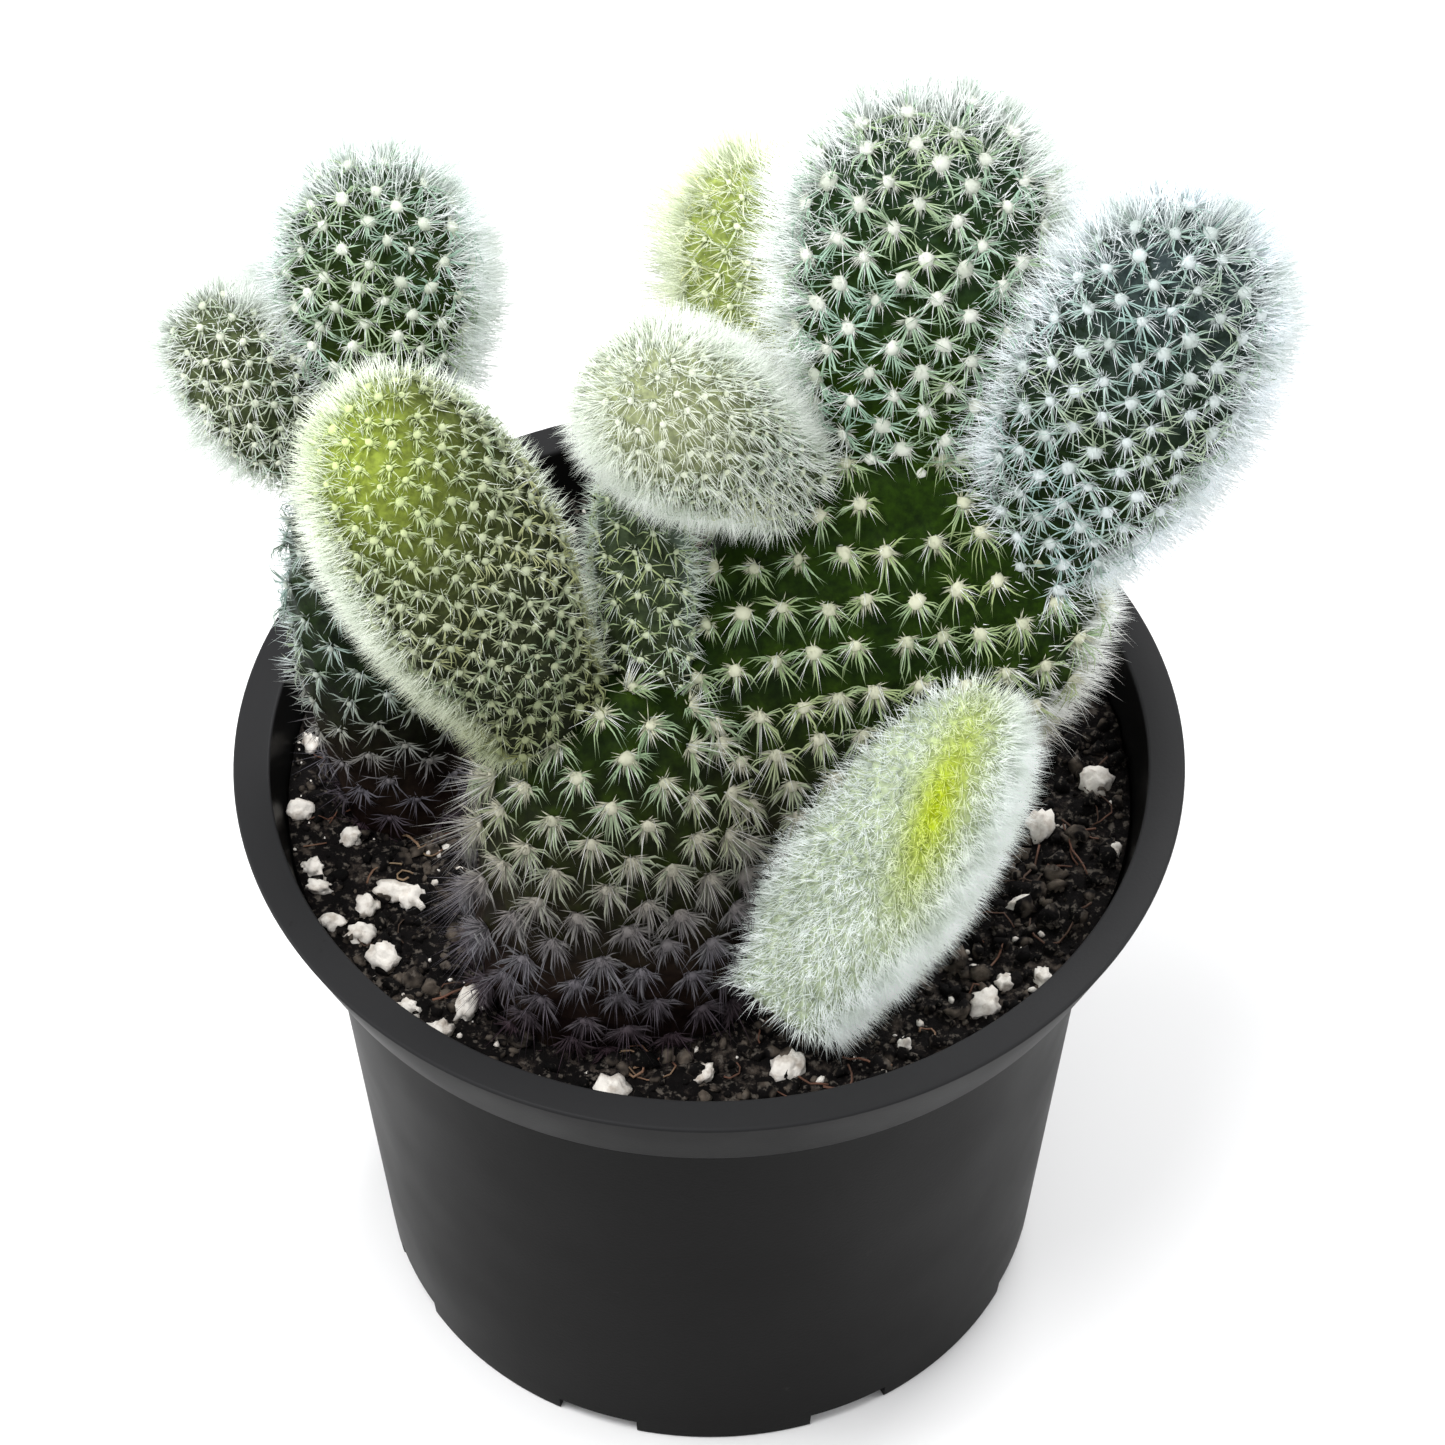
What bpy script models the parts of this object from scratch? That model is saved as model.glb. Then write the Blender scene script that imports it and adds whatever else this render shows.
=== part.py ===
"""A small bunny ears cactus growing in a round plastic nursery pot.

Units are metres and Z is up. The origin is the middle of the pot's underside,
and the broad side of the plant faces -Y.
"""
import math

import bmesh
import bpy
import numpy as np
from mathutils import Vector
from mathutils.bvhtree import BVHTree

MM = 0.001
GOLDEN_ANGLE = math.pi * (3.0 - math.sqrt(5.0))

# Fit between neighbouring pieces
GAP = 0.3 * MM
NEEDLE_CLEARANCE = 0.7 * MM
WELD = 0.002 * MM

# Pot
POT_SIDES = 64
POT_HEIGHT = 77.0 * MM
RIM_RADIUS = 51.8 * MM
RIM_WIDTH = 4.0 * MM
ROUNDING = 0.3 * MM
COLLAR_RADIUS = 47.9 * MM
COLLAR_LOW = 66.8 * MM
WALL_TOP = 66.4 * MM
WALL_TOP_RADIUS = 43.7 * MM
FOOT_RADIUS = 37.5 * MM
WALL = 1.3 * MM
SHELF_LOW = 67.2 * MM
SHELF_HIGH = 69.2 * MM
SHELF_RADIUS = 46.2 * MM
FLOOR = 3.4 * MM
NOTCH_COUNT = 8
NOTCH_FIRST_ANGLE = math.radians(25.0)
NOTCH_WIDTH = 9.4 * MM
NOTCH_HEIGHT = 2.1 * MM
NOTCH_DEPTH = 4.0 * MM

# Soil
SOIL_LEVEL = 70.3 * MM
SOIL_RELIEF = 0.7 * MM
SOIL_RINGS = 12
PERLITE_SEED = 3
PERLITE_STRETCH = (0.8, 1.25)

# White grains seen on the soil: place across, place back and radius, in mm
PERLITE = (
    (-44.0, 6.5, 1.3), (-44.5, -3.1, 1.2), (-39.1, -6.8, 1.1), (-43.0, -11.4, 1.3),
    (-42.3, -14.0, 1.2), (-37.1, -16.5, 1.2), (-33.8, -14.7, 1.9), (-32.1, -15.8, 1.7),
    (-40.6, -18.8, 1.1), (-37.5, -20.0, 1.3), (-34.9, -23.3, 1.5), (-32.2, -30.9, 1.2),
    (-28.8, -33.9, 1.2), (-25.7, -30.0, 1.8), (-10.3, -42.4, 1.7), (-0.5, -39.9, 1.0),
    (8.4, -38.3, 1.7), (42.4, 1.0, 1.8), (36.1, -5.6, 1.7), (43.8, -9.0, 1.1),
    (29.5, -30.0, 1.8), (35.7, -26.4, 1.4), (31.6, -26.9, 1.0), (33.6, -16.1, 1.1),
    (20.8, -35.5, 1.0), (-17.8, -40.6, 1.0), (-20.5, 33.0, 1.5), (6.0, 41.0, 1.7),
    (27.5, 30.5, 1.3), (-38.0, 21.5, 1.4), (17.0, 22.0, 1.2), (38.5, 17.5, 1.6))

# Needles
NEEDLE_LENGTH = 3.2 * MM
NEEDLE_ROOT = 0.6 * MM
NEEDLE_SUNK = 0.8 * MM
NEEDLE_LIFT = 0.25

# Shape shared by all pads
SECTION_SQUARENESS = 0.85
FOOT_BLEND = 6

# Pads: where each grows from, where it ends, which way its broad side looks,
# its width and thickness, where it is widest, how narrow its foot is, how
# blunt it is, the steps round and along it, and its number of needles.
STEM = dict(
    base=(-9.0, -27.5, 57.0), tip=(-10.5, -23.0, 114.0), face=(0.1, -1.0, 0.2),
    width=29.0, thickness=20.0, widest=0.50, foot=0.82, blunt=0.42,
    around=18, along=9, needles=120)
MAIN = dict(
    base=(-2.0, -25.5, 91.0), tip=(32.5, -4.0, 128.5), face=(0.1, -1.0, 0.45),
    width=40.0, thickness=15.0, widest=0.62, foot=0.45, blunt=0.45,
    around=20, along=11, needles=165)
PADS = {
    "young_pad_left": dict(
        base=(-16.6, -24.2, 111.0), tip=(-35.0, -14.0, 147.8), face=(0.5, -1.0, 0.6),
        width=21.6, thickness=18.4, widest=0.56, foot=0.62, blunt=0.45,
        around=16, along=10, needles=130),
    "young_pad_front": dict(
        base=(8.2, -32.8, 76.0), tip=(29.0, -20.5, 110.6), face=(-0.5, -1.0, 0.6),
        width=18.2, thickness=15.2, widest=0.52, foot=0.74, blunt=0.42,
        around=14, along=9, needles=105),
    "old_pad_left": dict(
        base=(-33.0, -2.8, 62.0), tip=(-36.6, 4.0, 123.3), face=(-0.2, -1.0, 0.4),
        width=18.4, thickness=13.0, widest=0.60, foot=0.64, blunt=0.48,
        around=14, along=9, needles=70),
    "ear_left_upper": dict(
        base=(-34.0, 3.8, 119.5), tip=(-34.0, 14.0, 153.2), face=(0.0, -1.0, 0.3),
        width=19.5, thickness=12.0, widest=0.62, foot=0.40, blunt=0.47,
        around=14, along=9, needles=75),
    "ear_left_lower": dict(
        base=(-40.0, 3.2, 116.5), tip=(-53.2, 7.0, 139.6), face=(0.2, -1.0, 0.4),
        width=13.0, thickness=9.0, widest=0.57, foot=0.45, blunt=0.48,
        around=12, along=8, needles=45),
    "bud_pad_middle": dict(
        base=(-5.0, -21.0, 100.0), tip=(-7.6, -8.0, 132.5), face=(-0.2, -1.0, 0.2),
        width=10.5, thickness=9.0, widest=0.50, foot=0.65, blunt=0.46,
        around=12, along=8, needles=30),
    "ear_top": dict(
        base=(19.6, -8.0, 124.5), tip=(22.9, 10.0, 166.0), face=(0.0, -1.0, 0.3),
        width=26.5, thickness=13.0, widest=0.62, foot=0.42, blunt=0.46,
        around=14, along=10, needles=105),
    "ear_right": dict(
        base=(32.6, -11.5, 118.5), tip=(50.3, 2.0, 158.0), face=(0.0, -1.0, 0.4),
        width=23.8, thickness=14.0, widest=0.58, foot=0.45, blunt=0.46,
        around=14, along=10, needles=95),
    "ear_back": dict(
        base=(12.0, -3.5, 124.0), tip=(3.2, 12.0, 155.0), face=(-0.3, -1.0, 0.3),
        width=18.4, thickness=11.0, widest=0.58, foot=0.45, blunt=0.47,
        around=12, along=8, needles=45),
    "ear_near": dict(
        base=(7.8, -9.8, 130.6), tip=(-9.0, -19.5, 156.3), face=(0.0, -1.0, 0.8),
        width=16.2, thickness=14.5, widest=0.62, foot=0.58, blunt=0.45,
        around=14, along=9, needles=60),
}

# Colour and roughness of each material
LOOKS = {
    "pot": ((0.030, 0.029, 0.029), 0.42),
    "soil": ((0.022, 0.016, 0.012), 0.95),
    "main_pad": ((0.060, 0.110, 0.035), 0.75),
    "young_pad_left": ((0.300, 0.380, 0.130), 0.80),
    "young_pad_front": ((0.560, 0.680, 0.350), 0.85),
    "old_pad_left": ((0.040, 0.070, 0.030), 0.80),
    "ear_left_upper": ((0.080, 0.150, 0.080), 0.80),
    "ear_left_lower": ((0.220, 0.290, 0.170), 0.80),
    "bud_pad_middle": ((0.260, 0.330, 0.180), 0.80),
    "ear_top": ((0.080, 0.150, 0.070), 0.80),
    "ear_right": ((0.110, 0.180, 0.160), 0.80),
    "ear_back": ((0.400, 0.520, 0.170), 0.80),
    "ear_near": ((0.380, 0.440, 0.290), 0.85),
}


def clear_scene():
    """Take away every object that the file starts with."""
    for thing in list(bpy.data.objects):
        bpy.data.objects.remove(thing, do_unlink=True)


def material(name):
    """One material with the colour and roughness of the named piece."""
    colour, roughness = LOOKS[name]
    made = bpy.data.materials.new(name)
    made.use_nodes = True
    shader = made.node_tree.nodes["Principled BSDF"]
    shader.inputs["Base Color"].default_value = (*colour, 1.0)
    shader.inputs["Roughness"].default_value = roughness
    return made


def mesh_object(name, vertices, faces):
    """An object in the scene from plain lists of corners and faces."""
    mesh = bpy.data.meshes.new(name)
    mesh.from_pydata([tuple(v) for v in vertices], [], faces)
    mesh.validate()
    shape = bmesh.new()
    shape.from_mesh(mesh)
    bmesh.ops.recalc_face_normals(shape, faces=shape.faces)
    shape.to_mesh(mesh)
    shape.free()
    made = bpy.data.objects.new(name, mesh)
    bpy.context.scene.collection.objects.link(made)
    return made


def apply_boolean(target, others, operation):
    """Cut or join a list of objects in one step, then remove them."""
    group = bpy.data.collections.new("operands")
    bpy.context.scene.collection.children.link(group)
    for other in others:
        group.objects.link(other)
    step = target.modifiers.new("boolean", "BOOLEAN")
    step.operation = operation
    step.solver = "EXACT"
    step.operand_type = "COLLECTION"
    step.collection = group
    bpy.context.view_layer.update()
    graph = bpy.context.evaluated_depsgraph_get()
    result = bpy.data.meshes.new_from_object(target.evaluated_get(graph))
    target.modifiers.clear()
    target.data = result
    for other in others:
        bpy.data.objects.remove(other, do_unlink=True)
    bpy.data.collections.remove(group)


def keep_largest_body(target):
    """Drop loose scraps and close a body's small seams."""
    shape = bmesh.new()
    shape.from_mesh(target.data)
    bmesh.ops.remove_doubles(shape, verts=shape.verts, dist=WELD)
    bmesh.ops.triangulate(shape, faces=shape.faces)
    groups = []
    seen = set()
    for start in shape.faces:
        if start in seen:
            continue
        body = [start]
        seen.add(start)
        for face in body:
            for edge in face.edges:
                for neighbour in edge.link_faces:
                    if neighbour not in seen:
                        seen.add(neighbour)
                        body.append(neighbour)
        groups.append(body)
    groups.sort(key=lambda body: sum(face.calc_area() for face in body))
    scraps = [face for body in groups[:-1] for face in body]
    bmesh.ops.delete(shape, geom=scraps, context="FACES")
    loose = [vertex for vertex in shape.verts if not vertex.link_faces]
    bmesh.ops.delete(shape, geom=loose, context="VERTS")
    shape.to_mesh(target.data)
    shape.free()


def finish(target, name, sharp_angle):
    """Name a finished piece, colour it and shade its round parts smooth."""
    target.name = name
    target.data.name = name
    target.data.materials.clear()
    target.data.materials.append(material(name))
    target.data.polygons.foreach_set("use_smooth", [True] * len(target.data.polygons))
    target.data.set_sharp_from_angle(angle=math.radians(sharp_angle))


def turned(name, profile, sides):
    """A body turned round Z; the profile starts and ends on the axis."""
    vertices = [(0.0, 0.0, profile[0][1])]
    for radius, height in profile[1:-1]:
        for side in range(sides):
            angle = 2.0 * math.pi * side / sides
            vertices.append((radius * math.cos(angle), radius * math.sin(angle), height))
    vertices.append((0.0, 0.0, profile[-1][1]))
    last = len(vertices) - 1
    rings = len(profile) - 2
    faces = []
    for side in range(sides):
        after = (side + 1) % sides
        faces.append((0, 1 + after, 1 + side))
        for ring in range(rings - 1):
            low = 1 + ring * sides
            high = low + sides
            faces.append((low + side, low + after, high + after, high + side))
        top = 1 + (rings - 1) * sides
        faces.append((last, top + side, top + after))
    return mesh_object(name, vertices, faces)


def wall_radius(height):
    """Radius of the pot's plain outer wall at a height."""
    return FOOT_RADIUS + (WALL_TOP_RADIUS - FOOT_RADIUS) * height / WALL_TOP


def inner_radius(height):
    """Radius of the pot's inside, which steps out on a shelf under the rim."""
    heights = (0.0, SHELF_LOW, SHELF_HIGH, POT_HEIGHT)
    radii = (FOOT_RADIUS - WALL, wall_radius(SHELF_LOW) - WALL, SHELF_RADIUS,
             RIM_RADIUS - RIM_WIDTH)
    return float(np.interp(height, heights, radii))


def make_pot():
    """The pot: a tapered wall, a sloping collar, a flat rim and a notched foot."""
    mouth = RIM_RADIUS - RIM_WIDTH
    profile = [
        (0.0, 0.0),
        (FOOT_RADIUS - NOTCH_DEPTH, 0.0),
        (FOOT_RADIUS - ROUNDING, 0.0),
        (wall_radius(ROUNDING), ROUNDING),
        (wall_radius(0.5 * WALL_TOP), 0.5 * WALL_TOP),
        (WALL_TOP_RADIUS, WALL_TOP),
        (COLLAR_RADIUS - 2.0 * ROUNDING, WALL_TOP),
        (COLLAR_RADIUS, COLLAR_LOW),
        (RIM_RADIUS - ROUNDING, POT_HEIGHT - 2.0 * ROUNDING),
        (RIM_RADIUS, POT_HEIGHT - ROUNDING),
        (RIM_RADIUS - ROUNDING, POT_HEIGHT),
        (mouth + ROUNDING, POT_HEIGHT),
        (inner_radius(POT_HEIGHT - ROUNDING), POT_HEIGHT - ROUNDING),
        (SHELF_RADIUS, SHELF_HIGH),
        (inner_radius(SHELF_LOW), SHELF_LOW),
        (inner_radius(FLOOR), FLOOR),
        (0.0, FLOOR),
    ]
    pot = turned("pot", profile, POT_SIDES)
    apply_boolean(pot, [notch_cutters()], "DIFFERENCE")
    keep_largest_body(pot)
    finish(pot, "pot", 35.0)


def notch_cutters():
    """The drain notches round the foot, as one joined cutter."""
    vertices = []
    faces = []
    for index in range(NOTCH_COUNT):
        angle = NOTCH_FIRST_ANGLE + 2.0 * math.pi * index / NOTCH_COUNT - math.pi / 2.0
        outward = Vector((math.cos(angle), math.sin(angle), 0.0))
        sideways = Vector((-math.sin(angle), math.cos(angle), 0.0))
        start = len(vertices)
        for height in (-NOTCH_HEIGHT, NOTCH_HEIGHT):
            for reach in (FOOT_RADIUS - NOTCH_DEPTH, FOOT_RADIUS + NOTCH_DEPTH):
                for side in (-0.5, 0.5):
                    corner = outward * reach + sideways * side * NOTCH_WIDTH
                    vertices.append((corner.x, corner.y, height))
        for face in ((0, 1, 3, 2), (4, 6, 7, 5), (0, 4, 5, 1), (2, 3, 7, 6), (0, 2, 6, 4),
                     (1, 5, 7, 3)):
            faces.append(tuple(start + corner for corner in face))
    return mesh_object("notches", vertices, faces)


def soil_height(x, y):
    """Height of the soil's uneven surface."""
    waves = math.sin(210.0 * x + 1.0) * math.cos(170.0 * y)
    waves += 0.6 * math.sin(430.0 * y + 260.0 * x)
    waves += 0.4 * math.cos(610.0 * x - 350.0 * y + 2.0)
    return SOIL_LEVEL + SOIL_RELIEF * 0.5 * waves


def make_soil(stem_cutters):
    """The soil that fills the pot, with holes for the stems and white grains."""
    edge = inner_radius(SOIL_LEVEL) - GAP
    low = FLOOR + GAP
    sides = POT_SIDES
    vertices = [(0.0, 0.0, low)]
    rows = [
        (inner_radius(low) - GAP, low),
        (inner_radius(SHELF_LOW) - GAP, SHELF_LOW + GAP),
        (SHELF_RADIUS - GAP, SHELF_HIGH + GAP),
    ]
    for radius, height in rows:
        for side in range(sides):
            angle = 2.0 * math.pi * side / sides
            vertices.append((radius * math.cos(angle), radius * math.sin(angle), height))
    for ring in range(SOIL_RINGS, 0, -1):
        radius = edge * ring / SOIL_RINGS
        for side in range(sides):
            angle = 2.0 * math.pi * side / sides
            x = radius * math.cos(angle)
            y = radius * math.sin(angle)
            height = soil_height(x, y)
            if ring == SOIL_RINGS:
                height = SOIL_LEVEL
            vertices.append((x, y, height))
    vertices.append((0.0, 0.0, soil_height(0.0, 0.0)))
    last = len(vertices) - 1
    ring_count = len(rows) + SOIL_RINGS
    faces = []
    for side in range(sides):
        after = (side + 1) % sides
        faces.append((0, 1 + after, 1 + side))
        for ring in range(ring_count - 1):
            start = 1 + ring * sides
            end = start + sides
            faces.append((start + side, start + after, end + after, end + side))
        top = 1 + (ring_count - 1) * sides
        faces.append((last, top + side, top + after))
    soil = mesh_object("soil", vertices, faces)
    for cutter in stem_cutters:
        apply_boolean(soil, [cutter], "DIFFERENCE")
    return soil


def profile_share(along, form):
    """Half width at a share of the length, as a share of the greatest."""
    power = math.log(0.5) / math.log(form["widest"])
    place = np.clip(along, 0.0, 1.0) ** power
    share = (4.0 * place * (1.0 - place)) ** form["blunt"]
    rounded = (share ** FOOT_BLEND + form["foot"] ** FOOT_BLEND) ** (1.0 / FOOT_BLEND)
    return np.where(along < form["widest"], rounded, share)


def pad_axes(form):
    """Unit directions along a pad, across it and out of its broad side."""
    along = np.array(form["tip"]) - np.array(form["base"])
    along = along / np.linalg.norm(along)
    outward = np.array(form["face"]) - np.dot(form["face"], along) * along
    outward = outward / np.linalg.norm(outward)
    return along, np.cross(along, outward), outward


def pad_point(form, along, angle):
    """Points on a pad's skin, in metres."""
    base = np.array(form["base"])
    length = np.array(form["tip"]) - base
    direction, across, outward = pad_axes(form)
    share = profile_share(along, form)[..., None]
    turn_x = np.sign(np.cos(angle)) * np.abs(np.cos(angle)) ** SECTION_SQUARENESS
    turn_y = np.sign(np.sin(angle)) * np.abs(np.sin(angle)) ** SECTION_SQUARENESS
    middle = base + length * along[..., None]
    wide = 0.5 * form["width"] * turn_x[..., None] * across
    deep = 0.5 * form["thickness"] * turn_y[..., None] * outward
    return (middle + share * (wide + deep)) * MM


def pad_skin(name, form, inflate=0.0):
    """A pad's closed body; inflate moves its skin outward."""
    around = form["around"]
    steps = np.sin(0.5 * math.pi * np.arange(form["along"]) / form["along"])
    angles = 2.0 * math.pi * np.arange(around) / around
    grid_along, grid_angle = np.meshgrid(steps, angles, indexing="ij")
    points = pad_point(form, grid_along.ravel(), grid_angle.ravel())
    direction = pad_axes(form)[0]
    if inflate:
        points = points + inflate * skin_normal(form, grid_along.ravel(), grid_angle.ravel())
        points[:around] -= inflate * direction
    base = np.array(form["base"]) * MM - inflate * direction
    tip = np.array(form["tip"]) * MM + inflate * direction
    vertices = [base, *points, tip]
    last = len(vertices) - 1
    faces = []
    for side in range(around):
        after = (side + 1) % around
        faces.append((0, 1 + after, 1 + side))
        for ring in range(form["along"] - 1):
            low = 1 + ring * around
            high = low + around
            faces.append((low + side, low + after, high + after, high + side))
        top = 1 + (form["along"] - 1) * around
        faces.append((last, top + side, top + after))
    return mesh_object(name, vertices, faces)


def skin_normal(form, along, angle):
    """Outward directions of a pad's skin."""
    step = 1e-3
    along = np.clip(along, step, 1.0 - 2.0 * step)
    here = pad_point(form, along, angle)
    up = pad_point(form, along + step, angle) - here
    side = pad_point(form, along, angle + step) - here
    normal = np.cross(up, side)
    return normal / np.linalg.norm(normal, axis=1)[:, None]


def areole_places(form):
    """Even spiral places over a pad's skin, as shares along and angles."""
    count = form["needles"]
    grid = np.linspace(0.02, 0.995, 160)
    angles = np.linspace(0.0, 2.0 * math.pi, 97)
    length = np.linalg.norm(np.array(form["tip"]) - np.array(form["base"])) * MM
    girths = []
    arcs = []
    for along in grid:
        ring = pad_point(form, np.full(angles.shape, along), angles)
        pieces = np.linalg.norm(np.diff(ring, axis=0), axis=1)
        arcs.append(np.concatenate([[0.0], np.cumsum(pieces)]) / pieces.sum())
        girths.append(pieces.sum())
    radii = profile_share(grid, form) * 0.25 * (form["width"] + form["thickness"]) * MM
    slopes = np.gradient(radii, grid) / length
    area = np.cumsum(np.array(girths) * np.sqrt(1.0 + slopes ** 2))
    area = area / area[-1]
    shares = (np.arange(count) + 0.5) / count
    along = np.interp(shares, area, grid)
    turns = np.mod(np.arange(count) * GOLDEN_ANGLE / (2.0 * math.pi), 1.0)
    rows = np.searchsorted(grid, along).clip(0, len(grid) - 1)
    angle = np.array([np.interp(turn, arcs[row], angles) for turn, row in zip(turns, rows)])
    return along, angle


def needle_places(form):
    """Roots on the skin and directions of a pad's needles."""
    along, angle = areole_places(form)
    roots = pad_point(form, along, angle)
    outward = skin_normal(form, along, angle)
    outward = outward + NEEDLE_LIFT * pad_axes(form)[0]
    outward = outward / np.linalg.norm(outward, axis=1)[:, None]
    return roots, outward


def needle(root, outward):
    """A three-sided needle with its root below the skin."""
    direction = Vector(outward)
    side = direction.orthogonal().normalized()
    other = direction.cross(side)
    foot = Vector(root) - direction * NEEDLE_SUNK
    corners = []
    for index in range(3):
        angle = 2.0 * math.pi * index / 3.0
        corners.append(foot + NEEDLE_ROOT * (math.cos(angle) * side + math.sin(angle) * other))
    corners.append(Vector(root) + direction * NEEDLE_LENGTH)
    return mesh_object("needle", corners, [(0, 2, 1), (0, 1, 3), (1, 2, 3), (2, 0, 3)])


def skin_tree(form):
    """A search tree of a pad's plain skin."""
    skin = pad_skin("probe", form)
    mesh = skin.data
    corners = [vertex.co.copy() for vertex in mesh.vertices]
    faces = [tuple(polygon.vertices) for polygon in mesh.polygons]
    tree = BVHTree.FromPolygons(corners, faces)
    bpy.data.objects.remove(skin, do_unlink=True)
    return tree


def depth_outside(tree, point):
    """Distance to a skin: positive outside it and negative inside."""
    near, normal, _, distance = tree.find_nearest(Vector(point))
    if (Vector(point) - near).dot(normal) < 0.0:
        return -distance
    return distance


def needle_is_clear(root, outward, trees):
    """Whether a needle stays off the other pads, the soil and the pot."""
    for share in (0.0, 0.5, 1.0):
        point = np.array(root) + np.array(outward) * NEEDLE_LENGTH * share
        if point[2] < soil_height(point[0], point[1]) + 2.0 * NEEDLE_CLEARANCE:
            return False
        if point[2] < POT_HEIGHT and math.hypot(point[0], point[1]) > SHELF_RADIUS - GAP:
            return False
        for x, y, radius in PERLITE:
            reach = PERLITE_STRETCH[1] * radius * MM + NEEDLE_CLEARANCE
            if np.linalg.norm(point - grain_centre(x, y, radius)) < reach:
                return False
        for tree in trees:
            if depth_outside(tree, point) < NEEDLE_CLEARANCE + NEEDLE_ROOT * (1.0 - share):
                return False
    return True


def segment_distance(root, tip, roots, tips):
    """Least distance from one needle to many, by sampling both."""
    shares = np.linspace(0.0, 1.0, 7)[:, None]
    own = root + (tip - root) * shares
    best = np.full(len(roots), 1.0)
    for share in shares[:, 0]:
        points = roots + (tips - roots) * share
        distance = np.linalg.norm(own[:, None, :] - points[None, :, :], axis=2).min(axis=0)
        best = np.minimum(best, distance)
    return best


def place_needles(body, forms, other_trees, placed):
    """Fuse the needles of one node into its body."""
    needles = []
    for index, form in enumerate(forms):
        own_trees = [skin_tree(other) for other in forms[:index] + forms[index + 1:]]
        roots, directions = needle_places(form)
        for root, outward in zip(roots, directions):
            if not needle_is_clear(root, outward, other_trees + own_trees):
                continue
            tip = root + outward * NEEDLE_LENGTH
            if placed:
                before = np.array(placed)
                near = segment_distance(root, tip, before[:, 0], before[:, 1])
                if near.min() < 2.0 * NEEDLE_ROOT:
                    continue
            needles.append((root, tip, outward))
    placed.extend((root, tip) for root, tip, _ in needles)
    apply_boolean(body, [needle(root, outward) for root, _, outward in needles], "UNION")
    keep_largest_body(body)


def grain_centre(x, y, radius):
    """Middle of a white grain that lies on the soil at a place in mm."""
    height = soil_height(x * MM, y * MM) + 0.2 * radius * MM
    return np.array((x * MM, y * MM, height))


def make_perlite(soil, trees):
    """White grains fused into the top of the soil."""
    draw = np.random.default_rng(PERLITE_SEED)
    grains = []
    for x, y, radius in PERLITE:
        stretch = draw.uniform(*PERLITE_STRETCH, 3)
        centre = grain_centre(x, y, radius)
        if any(depth_outside(tree, centre) < (radius + 1.0) * MM for tree in trees):
            continue
        shape = bmesh.new()
        bmesh.ops.create_icosphere(shape, subdivisions=1, radius=radius * MM)
        corners = [np.array(vertex.co) * stretch + centre for vertex in shape.verts]
        faces = [tuple(vertex.index for vertex in face.verts) for face in shape.faces]
        shape.free()
        grains.append(mesh_object("grain", corners, faces))
    apply_boolean(soil, grains, "UNION")
    keep_largest_body(soil)


def main():
    clear_scene()
    make_pot()
    nodes = {"main_pad": [STEM, MAIN]}
    nodes.update({name: [form] for name, form in PADS.items()})
    trees = {name: [skin_tree(form) for form in forms] for name, forms in nodes.items()}
    bodies = {}
    earlier = []
    for name, forms in nodes.items():
        body = pad_skin(name, forms[0])
        if len(forms) > 1:
            apply_boolean(body, [pad_skin("part", form) for form in forms[1:]], "UNION")
        for form in earlier:
            apply_boolean(body, [pad_skin("cutter", form, GAP)], "DIFFERENCE")
        keep_largest_body(body)
        bodies[name] = body
        earlier.extend(forms)
    soil = make_soil([pad_skin("cutter", form, GAP) for form in earlier])
    make_perlite(soil, [tree for group in trees.values() for tree in group])
    finish(soil, "soil", 60.0)
    placed = []
    for name, forms in nodes.items():
        others = [tree for other, group in trees.items() if other != name for tree in group]
        place_needles(bodies[name], forms, others, placed)
        finish(bodies[name], name, 45.0)


main()
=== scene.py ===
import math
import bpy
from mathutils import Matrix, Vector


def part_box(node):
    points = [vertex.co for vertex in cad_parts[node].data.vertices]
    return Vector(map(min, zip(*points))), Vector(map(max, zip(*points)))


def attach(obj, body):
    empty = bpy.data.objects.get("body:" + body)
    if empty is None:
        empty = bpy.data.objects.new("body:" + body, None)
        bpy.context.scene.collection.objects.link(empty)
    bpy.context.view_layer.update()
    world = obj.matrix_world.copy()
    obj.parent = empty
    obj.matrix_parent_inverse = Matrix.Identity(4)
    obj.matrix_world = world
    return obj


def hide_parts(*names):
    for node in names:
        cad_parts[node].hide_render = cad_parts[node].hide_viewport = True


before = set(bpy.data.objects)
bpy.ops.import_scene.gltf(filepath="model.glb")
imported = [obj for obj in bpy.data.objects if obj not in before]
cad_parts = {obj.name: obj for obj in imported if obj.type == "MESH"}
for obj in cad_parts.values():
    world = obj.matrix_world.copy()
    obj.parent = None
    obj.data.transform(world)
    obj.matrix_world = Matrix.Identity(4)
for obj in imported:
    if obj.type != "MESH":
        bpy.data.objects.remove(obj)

# The look of a small bunny ears cactus in a plastic nursery pot.
# The pads stand where the solids stand: their axes and sizes repeat the
# solids' own, in millimetres, and finer skins and hairs are grown on them.

from types import SimpleNamespace

import bmesh
import bpy
import numpy as np
from mathutils import Matrix, Vector, noise
from mathutils.bvhtree import BVHTree
from mathutils.kdtree import KDTree

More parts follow.
